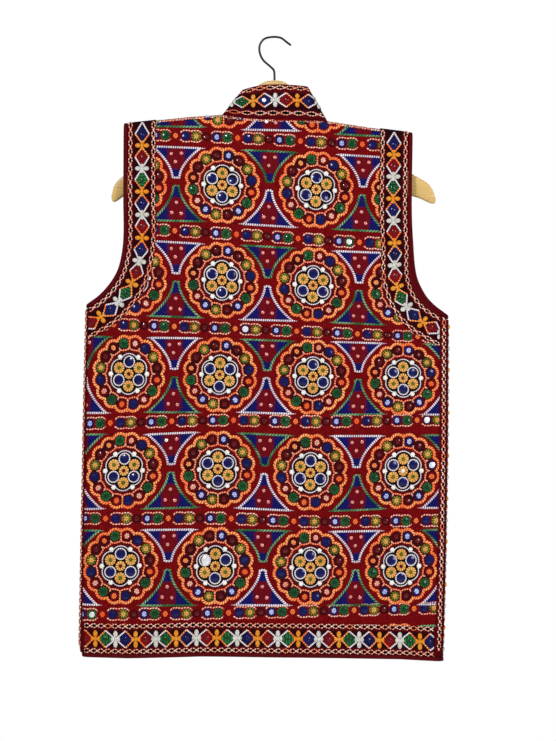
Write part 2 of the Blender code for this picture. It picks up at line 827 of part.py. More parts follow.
def make_hook(steel):
    """The wire hook that stands in the bar's neck."""
    line = smooth_line(HOOK_LINE, WIRE_STEPS)
    curve = bpy.data.curves.new("hanger_hook", "CURVE")
    curve.dimensions = "3D"
    spline = curve.splines.new("POLY")
    spline.points.add(len(line) - 1)
    for knot, (x, z) in zip(spline.points, line):
        knot.co = (x, 0.0, z, 1.0)
    curve.bevel_depth = HOOK_WIRE / 2
    curve.bevel_resolution = 2
    curve.use_fill_caps = True
    curve.materials.append(steel)
    item = bpy.data.objects.new("hanger_hook", curve)
    bpy.context.collection.objects.link(item)
    return item


def main():
    """Build every piece of the vest and its hanger."""
    clear_scene()
    ground = make_material("embroidered_cloth", (0.16, 0.006, 0.010), 0.85)
    strip = make_material("border_strip", (0.020, 0.006, 0.010), 0.85)
    plain = make_material("plain_binding", (0.095, 0.010, 0.014), 0.80)
    wood = make_material("lacquered_wood", (0.58, 0.38, 0.14), 0.45)
    steel = make_material("steel_wire", (0.30, 0.30, 0.31), 0.25, 1.0)
    make_back(ground)
    for side in (LEFT, RIGHT):
        make_front(side, ground)
        make_binding(side, plain)
        make_side_band(side, strip)
        make_hem_band(FRONT, side, strip)
        make_hem_binding(FRONT, side, plain)
        for face in (BACK, FRONT):
            make_armhole_band(side, face, strip)
    make_hem_band(BACK, None, strip)
    make_hem_binding(BACK, None, plain)
    make_collar(strip)
    make_bar(wood)
    make_hook(steel)


main()
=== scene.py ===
"""Looks of an embroidered vest on a wooden hanger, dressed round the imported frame.

Everything is planned flat, as (x, z) seen from the back, and laid on the hung garment's form.
The embroidery is real low relief: cords, chain links, dots, fills and small round mirrors.
"""

from __future__ import annotations

import functools
import logging
import math
from dataclasses import dataclass, replace
from enum import Enum
from typing import Callable, NamedTuple, Sequence

import bmesh
import bpy
import numpy as np
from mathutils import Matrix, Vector

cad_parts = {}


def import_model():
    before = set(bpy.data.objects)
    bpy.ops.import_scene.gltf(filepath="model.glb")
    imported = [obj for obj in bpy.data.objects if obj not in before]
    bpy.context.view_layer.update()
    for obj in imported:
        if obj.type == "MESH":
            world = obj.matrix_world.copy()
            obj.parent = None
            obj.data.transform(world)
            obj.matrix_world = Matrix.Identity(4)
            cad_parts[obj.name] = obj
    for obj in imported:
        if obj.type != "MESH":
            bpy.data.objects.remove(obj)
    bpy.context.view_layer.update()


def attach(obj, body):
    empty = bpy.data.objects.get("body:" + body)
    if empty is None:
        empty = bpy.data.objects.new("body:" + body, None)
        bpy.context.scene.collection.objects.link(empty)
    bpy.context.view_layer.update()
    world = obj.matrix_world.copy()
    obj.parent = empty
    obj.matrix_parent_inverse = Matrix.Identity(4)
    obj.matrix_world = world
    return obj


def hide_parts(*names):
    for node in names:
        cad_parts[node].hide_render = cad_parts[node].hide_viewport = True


LOG = logging.getLogger("vest")
MM = 0.001
IMAGE = (556, 741)
MM_PER_PIXEL = 1.37
HOOK_PIXEL = (274.5, 38.0)
BODY = "root"

# The garment's form, as in the part's source
WALL = 0.0020
BORDER = 0.0010
SEAM_GAP = 0.0003
TURN_RADIUS = 0.0100
BELLY = 0.0150
BELLY_REACH = 0.0800
FOLD_BLEND = 0.0150
HEM_WAVE = 0.0018
HEM_WAVE_LENGTH = 0.168
HEM_WAVE_REACH = 0.330
HEM_LEVEL = -0.8480
STRIP_LEVEL = -0.8450
BINDING_WIDTH = 0.0060
BAND_WIDTH = 0.0380
SIDE_BAND_WIDTH = 0.0380
HEM_BAND_HEIGHT = 0.0462
FRONT_EDGE_GAP = 0.0012
FRONT_NECK = -0.1720
FRONT_COLLAR_TOP = -0.1280
BAR_THICKNESS = 0.0120
HOOK_WIRE = 0.0030
MIDDLE = np.array((-0.0120, -0.4500))
NUDGE = 2e-6
WELD = 1e-6

# Points of a long line, points laid at once, and points that show which way a piece looks
CURVE_POINTS = 900
BATCH = 60000
FEW = 2000


class Side(Enum):
    """The garment's two sides, as seen from its back."""

    LEFT = 1
    RIGHT = -1

    @property
    def word(self) -> str:
        """The side's name in node names."""
        return self.name.lower()


class Face(Enum):
    """Which way a panel faces along Y."""

    BACK = -1
    FRONT = 1

    @property
    def word(self) -> str:
        """The face's name in node names."""
        return self.name.lower()


def sides_of(side: Side | None) -> list[Side]:
    """The sides on which a panel has an outer edge: both for the back, which has no side."""
    return list(Side) if side is None else [side]


class Row(NamedTuple):
    """A height or place with the left and right side's value."""

    height: float
    left: float
    right: float


SIDES = (
    Row(height=-0.8800, left=-0.2630, right=0.2308),
    Row(height=-0.8480, left=-0.2640, right=0.2309),
    Row(height=-0.8380, left=-0.2668, right=0.2313),
    Row(height=-0.8247, left=-0.2678, right=0.2320),
    Row(height=-0.7150, left=-0.2657, right=0.2350),
    Row(height=-0.5640, left=-0.2628, right=0.2377),
    Row(height=-0.4685, left=-0.2610, right=0.2382),
    Row(height=-0.3860, left=-0.2588, right=0.2385),
    Row(height=-0.3500, left=-0.2577, right=0.2385),
)
SIDE_BAND_ON_BACK = {Side.LEFT: 0.0036, Side.RIGHT: 0.0110}

# Each armhole's outer edge, from outside the side seam to above the shoulder, as (x, z)
ARMHOLES = {
    Side.LEFT: (
        (-0.3096, -0.3936),
        (-0.2569, -0.3644),
        (-0.2391, -0.3521),
        (-0.2213, -0.3315),
        (-0.2117, -0.3110),
        (-0.2062, -0.2767),
        (-0.2062, -0.2219),
        (-0.2062, -0.1192),
        (-0.2062, -0.0900),
    ),
    Side.RIGHT: (
        (0.2842, -0.4060),
        (0.2385, -0.3800),
        (0.2191, -0.3665),
        (0.2055, -0.3512),
        (0.1939, -0.3255),
        (0.1892, -0.2809),
        (0.1873, -0.2329),
        (0.1890, -0.1302),
        (0.1895, -0.1000),
    ),
}
SHOULDERS = {
    Side.LEFT: ((-0.2400, -0.1212), (-0.2062, -0.1178), (-0.1158, -0.1082), (-0.0716, -0.1052)),
    Side.RIGHT: ((0.2200, -0.1344), (0.1884, -0.1302), (0.1336, -0.1233), (0.0725, -0.1140)),
}
COLLAR_EDGES = (
    ((-0.0716, -0.1052), (-0.0445, -0.0715), (-0.0284, -0.0515)),
    ((0.0725, -0.1140), (0.0460, -0.0670), (0.0320, -0.0422)),
)
HEM = (
    (-0.2700, -0.8470),
    (-0.2000, -0.8482),
    (-0.1020, -0.8453),
    (0.0350, -0.8467),
    (0.1720, -0.8494),
    (0.2320, -0.8535),
)
NECK_SEAM = (
    (-0.0716, -0.1052),
    (-0.0430, -0.1096),
    (-0.0200, -0.1115),
    (0.0360, -0.1118),
    (0.0725, -0.1140),
)
COLLAR_TOP = (
    (-0.0445, -0.0715),
    (-0.0200, -0.0662),
    (0.0000, -0.0650),
    (0.0200, -0.0653),
    (0.0460, -0.0670),
)
FRONT_LINE = ((-0.0175, -0.8480), (-0.0010, FRONT_NECK))

# How far the right armhole's strip is set in, as (height, distance), and the lowest place where it is
STRIP_SHIFT = (
    (-0.388, 0.0),
    (-0.376, 0.001),
    (-0.362, 0.0042),
    (-0.346, 0.0056),
    (-0.322, 0.0036),
    (-0.290, 0.0),
)
TURNED_EDGE_LOW = -0.412

# Upper edge of the hanger's bar from the centre out to a tip, then its lower edge back
BAR_LEFT = (
    (0.0000, -0.0582),
    (-0.0120, -0.0598),
    (-0.0230, -0.0656),
    (-0.0340, -0.0745),
    (-0.0460, -0.0868),
    (-0.0575, -0.0988),
    (-0.0720, -0.1098),
    (-0.0900, -0.1195),
    (-0.1400, -0.1482),
    (-0.1800, -0.1725),
    (-0.2089, -0.1908),
    (-0.2188, -0.2015),
    (-0.2234, -0.2173),
    (-0.2220, -0.2235),
    (-0.2180, -0.2245),
    (-0.2080, -0.2178),
    (-0.1800, -0.2020),
    (-0.1400, -0.1785),
    (-0.0900, -0.1490),
    (-0.0450, -0.1240),
)
BAR_RIGHT = (
    (0.0120, -0.0598),
    (0.0220, -0.0662),
    (0.0340, -0.0780),
    (0.0480, -0.0935),
    (0.0600, -0.1065),
    (0.0725, -0.1179),
    (0.0900, -0.1280),
    (0.1400, -0.1560),
    (0.1880, -0.1860),
    (0.2080, -0.1978),
    (0.2165, -0.2080),
    (0.2208, -0.2212),
    (0.2195, -0.2262),
    (0.2145, -0.2268),
    (0.2010, -0.2206),
    (0.1850, -0.2150),
    (0.1400, -0.1890),
    (0.0900, -0.1570),
    (0.0450, -0.1280),
    (0.0000, -0.1130),
)
HOOK_LINE = (
    (0.0000, -0.0600),
    (-0.0001, -0.0490),
    (-0.0010, -0.0442),
    (-0.0038, -0.0408),
    (-0.0095, -0.0359),
    (-0.0150, -0.0308),
    (-0.0188, -0.0244),
    (-0.0208, -0.0155),
    (-0.0192, -0.0075),
    (-0.0135, -0.0010),
    (-0.0014, 0.0015),
    (0.0090, 0.0000),
    (0.0165, -0.0055),
    (0.0225, -0.0100),
)


class Crease(NamedTuple):
    """A soft trough or ridge in the hung cloth, from one end to the other."""

    start: tuple[float, float]
    end: tuple[float, float]
    reach: float
    rise: float


CREASES = {
    Face.BACK: (
        Crease(start=(-0.195, -0.350), end=(-0.120, -0.420), reach=0.013, rise=-0.0016),
        Crease(start=(-0.230, -0.395), end=(-0.165, -0.470), reach=0.016, rise=0.0013),
        Crease(start=(0.180, -0.375), end=(0.115, -0.425), reach=0.012, rise=-0.0014),
        Crease(start=(0.205, -0.420), end=(0.150, -0.505), reach=0.017, rise=0.0012),
        Crease(start=(-0.135, -0.150), end=(-0.120, -0.300), reach=0.020, rise=-0.0010),
        Crease(start=(0.120, -0.160), end=(0.100, -0.270), reach=0.018, rise=-0.0012),
        Crease(start=(-0.060, -0.640), end=(-0.085, -0.830), reach=0.024, rise=-0.0014),
        Crease(start=(0.105, -0.600), end=(0.130, -0.835), reach=0.022, rise=0.0012),
        Crease(start=(0.020, -0.130), end=(0.010, -0.185), reach=0.016, rise=-0.0009),
    ),
    Face.FRONT: (
        Crease(start=(-0.190, -0.360), end=(-0.110, -0.440), reach=0.014, rise=-0.0015),
        Crease(start=(0.175, -0.365), end=(0.105, -0.455), reach=0.013, rise=-0.0016),
        Crease(start=(-0.150, -0.150), end=(-0.125, -0.330), reach=0.021, rise=-0.0012),
        Crease(start=(0.125, -0.160), end=(0.115, -0.300), reach=0.017, rise=-0.0010),
        Crease(start=(-0.120, -0.600), end=(-0.140, -0.835), reach=0.023, rise=0.0013),
        Crease(start=(0.080, -0.560), end=(0.105, -0.830), reach=0.025, rise=-0.0014),
        Crease(start=(-0.035, -0.230), end=(-0.050, -0.380), reach=0.016, rise=0.0010),
    ),
}


def smooth_line(points: Sequence[Sequence[float]], steps: int) -> np.ndarray:
    """Points of a curve through the given ones.

    Args:
        points: the places the curve passes through.
        steps: how many steps it takes between neighbours.

    Returns:
        The curve's points, one row each.
    """
    pts = [np.array(point, dtype=float) for point in points]
    ends = [2 * pts[0] - pts[1], *pts, 2 * pts[-1] - pts[-2]]
    line = []
    for before, start, end, after in zip(ends, ends[1:], ends[2:], ends[3:]):
        reach = np.linalg.norm(end - start)
        leave = (end - before) * reach / (np.linalg.norm(start - before) + reach)
        arrive = (after - start) * reach / (np.linalg.norm(after - end) + reach)
        for step in range(steps):
            t = step / steps
            line.append(
                (2 * t**3 - 3 * t**2 + 1) * start
                + (t**3 - 2 * t**2 + t) * leave
                + (3 * t**2 - 2 * t**3) * end
                + (t**3 - t**2) * arrive
            )
    line.append(pts[-1])
    return np.array(line)


def tangents(line: np.ndarray, closed: bool = False) -> np.ndarray:
    """Unit direction of a line at each of its points."""
    if closed:
        wrapped = np.concatenate((line[-2:-1], line, line[1:2]))
        runs = wrapped[2:] - wrapped[:-2]
    else:
        runs = np.gradient(line, axis=0)
    return runs / np.maximum(np.linalg.norm(runs, axis=1), 1e-9)[:, None]


def left_of(line: np.ndarray, closed: bool = False) -> np.ndarray:
    """Unit direction to the left of a flat line at each of its points."""
    runs = tangents(line, closed)
    return np.stack((-runs[:, 1], runs[:, 0]), axis=1)


def level_at(x: np.ndarray | float, points: Sequence[Sequence[float]]) -> np.ndarray:
    """Height at x of a line of (x, z) points."""
    return np.interp(x, [point[0] for point in points], [point[1] for point in points])


def everywhere(places: np.ndarray) -> np.ndarray:
    """Test that every place passes."""
    return np.ones(len(places), dtype=bool)


def lengths_along(line: np.ndarray) -> np.ndarray:
    """Length from the first point to each point of a line."""
    steps = np.linalg.norm(np.diff(line, axis=0), axis=1)
    return np.concatenate(([0.0], np.cumsum(steps)))


def at_lengths(line: np.ndarray, targets: np.ndarray) -> np.ndarray:
    """Points of a line at lengths from its first point."""
    along = lengths_along(line)
    return np.stack([np.interp(targets, along, line[:, axis]) for axis in range(line.shape[1])], axis=-1)


def even(line: np.ndarray, count: int) -> np.ndarray:
    """A line's points spaced evenly, so many of them."""
    return at_lengths(line, np.linspace(0.0, lengths_along(line)[-1], count))


def round_turn(length: np.ndarray | float) -> np.ndarray:
    """Plan distance from a fold that a length of cloth, laid round the turn, reaches."""
    bent = TURN_RADIUS * (1.0 - np.cos(np.minimum(length / TURN_RADIUS, math.pi / 2)))
    return bent + np.maximum(length - TURN_RADIUS * math.pi / 2, 0.0)


def cloth_length(reach: np.ndarray | float) -> np.ndarray:
    """Length of cloth, laid round the turn, to a plan distance from a fold."""
    bent = TURN_RADIUS * np.arccos(1.0 - np.minimum(reach / TURN_RADIUS, 1.0))
    return bent + np.maximum(reach - TURN_RADIUS, 0.0)


def nearest_on(line: np.ndarray, points: np.ndarray) -> tuple[np.ndarray, np.ndarray, np.ndarray]:
    """Closest points of a line to many points.

    Args:
        line: the line's corners.
        points: the points, one row each.

    Returns:
        The closest points, the squared gaps, and which side each point is on, as +1 or -1.
    """
    starts = line[:-1]
    runs = line[1:] - starts
    offsets = points[:, None, :] - starts
    shares = np.clip((offsets * runs).sum(-1) / (runs * runs).sum(-1), 0.0, 1.0)
    feet = starts + runs * shares[..., None]
    gaps = ((feet - points[:, None, :]) ** 2).sum(-1)
    best = gaps.argmin(1)
    rows = np.arange(len(points))
    turn = runs[best, 0] * offsets[rows, best, 1] - runs[best, 1] * offsets[rows, best, 0]
    return feet[rows, best], gaps[rows, best], np.where(turn > 0, 1.0, -1.0)


class Form:
    """The hung garment's shape, which every piece of cloth and every stitch is laid on."""

    def __init__(self) -> None:
        """Work out the lines where the back turns into the front."""
        heights = [row.height for row in SIDES]
        self.folds = []
        for side in Side:
            self.folds.append(np.array([(float(self.side_x(z, side)), z) for z in heights]))
            self.folds.append(np.array(SHOULDERS[side]))
        self.folds.extend(np.array(edge) for edge in COLLAR_EDGES)
        self.armholes = {side: self.armhole_curve(side, 0.0) for side in Side}

    def side_x(self, z: np.ndarray | float, side: Side) -> np.ndarray:
        """Where the panels' side seam lies at a height, under the border strip."""
        places = [row.left if side is Side.LEFT else row.right for row in SIDES]
        inset = (SEAM_GAP + BORDER) * side.value
        return np.interp(z, [row.height for row in SIDES], places) + inset

    def shoulder_z(self, x: np.ndarray | float, side: Side) -> np.ndarray:
        """Height of the shoulder line at x."""
        return level_at(x, sorted(SHOULDERS[side]))

    def hem_z(self, x: np.ndarray | float, rise: float = 0.0) -> np.ndarray:
        """Height of the hem at x, so far up from the garment's lower edge."""
        return level_at(x, HEM) + rise

    def neck_z(self, x: np.ndarray | float) -> np.ndarray:
        """Height of the back's neck seam at x."""
        return level_at(x, NECK_SEAM)

    def strip_shift(self, side: Side, z: np.ndarray | float) -> np.ndarray:
        """How far the armhole's strip is set in below its wider turned edge, at the edge's height."""
        if side is Side.LEFT:
            return np.zeros(np.shape(z))
        return level_at(z, STRIP_SHIFT)

    def armhole_curve(self, side: Side, inset: float, shifted: bool = False) -> np.ndarray:
        """An armhole's edge moved in, with loose ends past the side seam and the shoulder."""
        line = smooth_line(ARMHOLES[side], 14)
        if shifted:
            inset = (inset + self.strip_shift(side, line[:, 1]))[:, None]
        return line - left_of(line) * side.value * inset

    def seam_distance(self, points: np.ndarray, side: Side) -> np.ndarray:
        """Distance in from a side seam."""
        return side.value * (points[:, 0] - self.side_x(points[:, 1], side))

    def armhole_distance(self, points: np.ndarray, side: Side, shifted: bool = False) -> np.ndarray:
        """Distance in from an armhole's edge, or from its set-in strip's; 1 where that is far away."""
        distance = np.ones(len(points))
        close = np.flatnonzero((-side.value * points[:, 0] > 0.125) & (points[:, 1] > -0.50))
        for part in np.array_split(close, len(close) // (BATCH // 2) + 1):
            if len(part):
                feet, gaps, turn = nearest_on(self.armholes[side], points[part])
                shift = self.strip_shift(side, feet[:, 1]) if shifted else 0.0
                distance[part] = np.sqrt(gaps) * turn * -side.value - shift
        return distance

    def front_line_x(self, z: np.ndarray | float, side: Side) -> np.ndarray:
        """Edge of a front at the centre, at a height."""
        (low_x, low_z), (high_x, high_z) = FRONT_LINE
        return np.interp(z, (low_z, high_z), (low_x, high_x)) - FRONT_EDGE_GAP / 2 * side.value

    def front_neck(self, side: Side, angles: np.ndarray, top: bool = False) -> np.ndarray:
        """The front's neck seam, or the collar's top edge above it, from shoulder to centre."""
        ends = COLLAR_TOP if top else NECK_SEAM
        corner = np.array(ends[0] if side is Side.LEFT else ends[-1])
        low = FRONT_COLLAR_TOP if top else FRONT_NECK
        end_x = float(self.front_line_x(FRONT_NECK, side))
        x = end_x + (corner[0] - end_x) * np.cos(angles)
        z = corner[1] + (low - corner[1]) * np.sin(angles)
        return np.stack((x, z), axis=1)

    def wave(self, points: np.ndarray, face: np.ndarray) -> np.ndarray:
        """Soft vertical waves that grow towards the hem."""
        share = np.clip(1.0 - (points[:, 1] - HEM_LEVEL) / HEM_WAVE_REACH, 0.0, 1.0)
        phase = np.where(face < 0, 0.9, 2.4)
        return HEM_WAVE * share**2 * np.sin(2 * math.pi * points[:, 0] / HEM_WAVE_LENGTH + phase)

    def creased(self, points: np.ndarray, face: np.ndarray) -> np.ndarray:
        """How far the main creases move the cloth out or in."""
        total = np.zeros(len(points))
        for which, creases in CREASES.items():
            mask = (face < 0) == (which is Face.BACK)
            for crease in creases:
                start, run = np.array(crease.start), np.subtract(crease.end, crease.start)
                share = ((points - start) @ run) / (run @ run)
                foot = start + np.clip(share, 0.0, 1.0)[:, None] * run
                gap = np.linalg.norm(points - foot, axis=1) / crease.reach
                fade = np.sin(math.pi * np.clip(share * 0.86 + 0.07, 0.0, 1.0))
                total += mask * crease.rise * np.exp(-(gap**2)) * fade
        return total

    def lay(
        self,
        points: np.ndarray,
        out: np.ndarray | float,
        face: np.ndarray | float,
        joined: bool = False,
    ) -> np.ndarray:
        """Place planned points on the hung form.

        Args:
            points: planned (x, z), one row each.
            out: distance out from the panels' outer face.
            face: -1 on the back and +1 on the front.
            joined: whether the piece runs on through a fold.

        Returns:
            The points in the frame, in metres.
        """
        points = np.asarray(points, dtype=float)
        out = np.broadcast_to(np.asarray(out, dtype=float), len(points))
        face = np.broadcast_to(np.asarray(face, dtype=float), len(points))
        inward = MIDDLE - points
        probe = points + inward / np.linalg.norm(inward, axis=1)[:, None] * NUDGE
        feet = np.stack([nearest_on(fold, probe)[0] for fold in self.folds], axis=1)
        spans = np.linalg.norm(probe[:, None, :] - feet, axis=2)
        rows = np.arange(len(points))
        nearest = spans.argmin(1)
        span = np.maximum(spans[rows, nearest], 1e-9)
        towards = (feet[rows, nearest] - probe) / span[:, None]
        cosine = np.maximum(1.0 - span / TURN_RADIUS, 0.0)
        sine = np.sqrt(1.0 - cosine**2)
        blended = -FOLD_BLEND * np.log(np.exp(-spans / FOLD_BLEND).sum(1))
        fullness = 1.0 - np.exp(-np.maximum(blended, 0.0) / BELLY_REACH)
        swell = fullness * (BELLY + self.wave(points, face))
        swell = swell + self.creased(points, face) * np.clip(span / 0.03, 0.0, 1.0)
        gap = SEAM_GAP / 2 * (sine if joined else 1.0)
        depth = gap + (TURN_RADIUS + out) * sine + swell
        place = points + towards * (cosine * out)[:, None]
        return np.stack((place[:, 0], face * depth, place[:, 1]), axis=1)


FORM = Form()


# Finishes

def linear(colour: str) -> tuple[float, float, float, float]:
    """A colour given as sRGB hex, such as #8C0A12, in Blender's linear values."""
    parts = [int(colour[k : k + 2], 16) / 255 for k in (1, 3, 5)]
    return (*[p / 12.92 if p <= 0.04045 else ((p + 0.055) / 1.055) ** 2.4 for p in parts], 1.0)


def add_node(
    tree: bpy.types.NodeTree,
    kind: str,
    settings: dict | None = None,
    links: dict | None = None,
) -> bpy.types.Node:
    """Add a node with its settings and links.

    Args:
        tree: the node tree.
        kind: the node's type, without the word ShaderNode.
        settings: values of its properties and its sockets, by name or number.
        links: output sockets to link to its inputs, by the input's name or number.

    Returns:
        The new node.
    """
    node = tree.nodes.new("ShaderNode" + kind)
    for name, value in (settings or {}).items():
        if isinstance(name, str) and hasattr(node, name):
            setattr(node, name, value)
        else:
            node.inputs[name].default_value = value
    for name, socket in (links or {}).items():
        tree.links.new(socket, node.inputs[name])
    return node


def band_scale(pitch_mm: float) -> float:
    """Scale at which a wave texture's bands lie so many millimetres apart."""
    return math.pi / 10 / (pitch_mm * MM)


class Surface:
    """A material in the making, with its node tree and its bare Principled surface."""

    def __init__(self, name: str, roughness: float, settings: dict | None = None) -> None:
        """Start the material with the surface's constants."""
        self.material = bpy.data.materials.new(name)
        self.material.use_nodes = True
        self.tree = self.material.node_tree
        self.principled = self.tree.nodes["Principled BSDF"]
        for key, value in {"Roughness": roughness, **(settings or {})}.items():
            self.principled.inputs[key].default_value = value

    def add(self, kind: str, settings: dict | None = None, links: dict | None = None) -> bpy.types.Node:
        """Add a node to the material's tree."""
        return add_node(self.tree, kind, settings, links)

    def finished(self, sockets: dict[str, bpy.types.NodeSocket]) -> bpy.types.Material:
        """The material, once these sockets are linked to the surface."""
        for name, socket in sockets.items():
            self.tree.links.new(socket, self.principled.inputs[name])
        return self.material


@dataclass(frozen=True)
class Thread:
    """Embroidery thread laid side by side: each strand's round side catches the light."""

    name: str
    colour: str
    tone: str
    shade: str
    pitch_mm: float = 1.4
    slant: float = 0.35
    roughness: float = 0.6

    def material(self) -> bpy.types.Material:
        """Rayon thread, in strands across the stitched line, dyed a little unevenly, with painted shade
        between the strands.
        """
        make = Surface(self.name, self.roughness, {"Specular IOR Level": 0.06})
        uv = make.add("UVMap", {"uv_map": "thread"})
        turned = make.add("Mapping", {"Rotation": (0.0, 0.0, self.slant)}, {"Vector": uv.outputs[0]})
        waves = {"Scale": band_scale(self.pitch_mm), "Distortion": 1.2, "Detail": 1.0, "Detail Scale": 2.0}
        strands = make.add("TexWave", waves, {"Vector": turned.outputs[0]}).outputs["Fac"]
        place = make.add("TexCoord").outputs["Object"]
        dye = make.add("TexNoise", {"Scale": 42.0, "Detail": 2.0, "Roughness": 0.6}, {"Vector": place})
        dyed = make.add("MapRange", {"From Min": 0.38, "From Max": 0.62}, {0: dye.outputs["Fac"]})
        tones = {"data_type": "RGBA", 6: linear(self.colour), 7: linear(self.tone)}
        tint = make.add("Mix", tones, {0: dyed.outputs[0]})
        # painted shade: the shade colour darkens the gaps between the strands
        between = make.add("MapRange", {"From Min": 0.08, "From Max": 0.6}, {0: strands})
        shades = {"data_type": "RGBA", 6: linear(self.shade)}
        colour = make.add("Mix", shades, {0: between.outputs[0], 7: tint.outputs[2]})
        bump = make.add("Bump", {"Strength": 0.8, "Distance": 0.0006}, {"Height": strands})
        return make.finished({"Base Color": colour.outputs[2], "Normal": bump.outputs[0]})


@dataclass(frozen=True)
class TwoToneFill:
    """Long stitches that pass from one colour in the middle to another in the corners."""

    name: str
    heart: str
    corner: str
    shade: str
    pitch_mm: float = 1.6

    def material(self) -> bpy.types.Material:
        """Rayon fill, whose second UV value runs from the middle, 0, to the corners, 1."""
        make = Surface(self.name, 0.65, {"Specular IOR Level": 0.03})
        uv = make.add("UVMap", {"uv_map": "thread"}).outputs[0]
        parts = make.add("SeparateXYZ", {}, {0: uv})
        place = make.add("TexCoord").outputs["Object"]
        speck = make.add("TexNoise", {"Scale": 330.0, "Detail": 2.0, "Roughness": 0.7}, {"Vector": place})
        pushed = make.add("Math", {"operation": "MULTIPLY_ADD", 1: 1.3, 2: -0.65}, {0: speck.outputs["Fac"]})
        mixed = make.add("Math", {"operation": "ADD"}, {0: parts.outputs[1], 1: pushed.outputs[0]})
        share = make.add("MapRange", {"From Min": 0.25, "From Max": 0.75}, {0: mixed.outputs[0]})
        tones = {"data_type": "RGBA", 6: linear(self.heart), 7: linear(self.corner)}
        tint = make.add("Mix", tones, {0: share.outputs[0]})
        waves = {"Scale": band_scale(self.pitch_mm), "Distortion": 3.0, "Detail": 2.0, "Detail Scale": 1.5}
        strands = make.add("TexWave", waves, {"Vector": uv}).outputs["Fac"]
        # painted shade: the shade colour darkens the gaps between the stitches
        between = make.add("MapRange", {"From Min": 0.0, "From Max": 0.5}, {0: strands})
        shades = {"data_type": "RGBA", 6: linear(self.shade)}
        colour = make.add("Mix", shades, {0: between.outputs[0], 7: tint.outputs[2]})
        bump = make.add("Bump", {"Strength": 0.6, "Distance": 0.0004}, {"Height": strands})
        return make.finished({"Base Color": colour.outputs[2], "Normal": bump.outputs[0]})


@dataclass(frozen=True)
class Foil:
    """Small round sequin or mirror of coloured foil under a clear coat."""

    name: str
    colour: str
    metallic: float = 0.1
    roughness: float = 0.22

    def material(self) -> bpy.types.Material:
        """Pressed foil: a bright glint, with fine scratches and a little tarnish."""
        coat = {"Coat Weight": 0.3, "Coat Roughness": 0.06}
        sheen = {"Metallic": self.metallic, "Specular IOR Level": 0.12, **coat}
        make = Surface(self.name, self.roughness, sheen)
        place = make.add("TexCoord").outputs["Object"]
        tarnish = make.add("TexNoise", {"Scale": 700.0, "Detail": 3.0}, {"Vector": place}).outputs["Fac"]
        bright = linear(self.colour)
        dull = (*(0.45 * value for value in bright[:3]), 1.0)
        colour = make.add("Mix", {"data_type": "RGBA", 6: bright, 7: dull}, {0: tarnish})
        wear = {"To Min": self.roughness * 0.6, "To Max": self.roughness * 1.6}
        rough = make.add("MapRange", wear, {0: tarnish})
        bump = make.add("Bump", {"Strength": 0.25, "Distance": 0.0002}, {"Height": tarnish})
        ends = {"Base Color": colour.outputs[2], "Roughness": rough.outputs[0], "Normal": bump.outputs[0]}
        return make.finished(ends)


@dataclass(frozen=True)
class Cloth:
    """Cotton ground closely filled with rows of stitches, or plain weave."""

    name: str
    colour: str
    tone: str
    shade: str
    row_mm: float
    stitch_mm: float
    relief_mm: float = 0.35
    roughness: float = 0.85
    dark_middle: str | None = None

    def material(self) -> bpy.types.Material:
        """Cotton with a dull nap: rows of short stitches, worn a little unevenly, with painted shade between
        the rows and stitches.
        """
        make = Surface(self.name, self.roughness, {"Specular IOR Level": 0.02})
        uv = make.add("UVMap", {"uv_map": "thread"}).outputs[0]
        across = {"Distortion": 4.0, "Detail": 2.0, "Detail Scale": 2.0}
        along = {"Distortion": 7.0, "Detail": 3.0, "Detail Scale": 1.6}
        row_waves = {"bands_direction": "Y", "Scale": band_scale(self.row_mm), **across}
        rows = make.add("TexWave", row_waves, {"Vector": uv})
        stitches = make.add("TexWave", {"Scale": band_scale(self.stitch_mm), **along}, {"Vector": uv})
        both = {0: rows.outputs["Fac"], 1: stitches.outputs["Fac"]}
        weave = make.add("Math", {"operation": "MULTIPLY"}, both).outputs[0]
        place = make.add("TexCoord").outputs["Object"]
        patchy = make.add("TexNoise", {"Scale": 210.0, "Detail": 4.0, "Roughness": 0.75}, {"Vector": place})
        worn = make.add("MapRange", {"From Min": 0.35, "From Max": 0.65}, {0: patchy.outputs["Fac"]})
        tones = {"data_type": "RGBA", 6: linear(self.colour), 7: linear(self.tone)}
        ground = make.add("Mix", tones, {0: worn.outputs[0]}).outputs[2]
        if self.dark_middle:
            parts = make.add("SeparateXYZ", {}, {0: uv})
            away = make.add("Math", {"operation": "ABSOLUTE"}, {0: parts.outputs[1]})
            middle = make.add("MapRange", {"From Min": 0.0135, "From Max": 0.0105}, {0: away.outputs[0]})
            dark = {"data_type": "RGBA", 7: linear(self.dark_middle)}
            ground = make.add("Mix", dark, {0: middle.outputs[0], 6: ground}).outputs[2]
        # painted shade: the weave darkens the colour towards the shade colour between rows and stitches
        lit = make.add("MapRange", {"From Min": -0.3, "From Max": 0.3}, {0: weave})
        shades = {"data_type": "RGBA", 6: linear(self.shade)}
        colour = make.add("Mix", shades, {0: lit.outputs[0], 7: ground})
        bump = make.add("Bump", {"Strength": 0.8, "Distance": self.relief_mm * MM}, {"Height": weave})
        return make.finished({"Base Color": colour.outputs[2], "Normal": bump.outputs[0]})


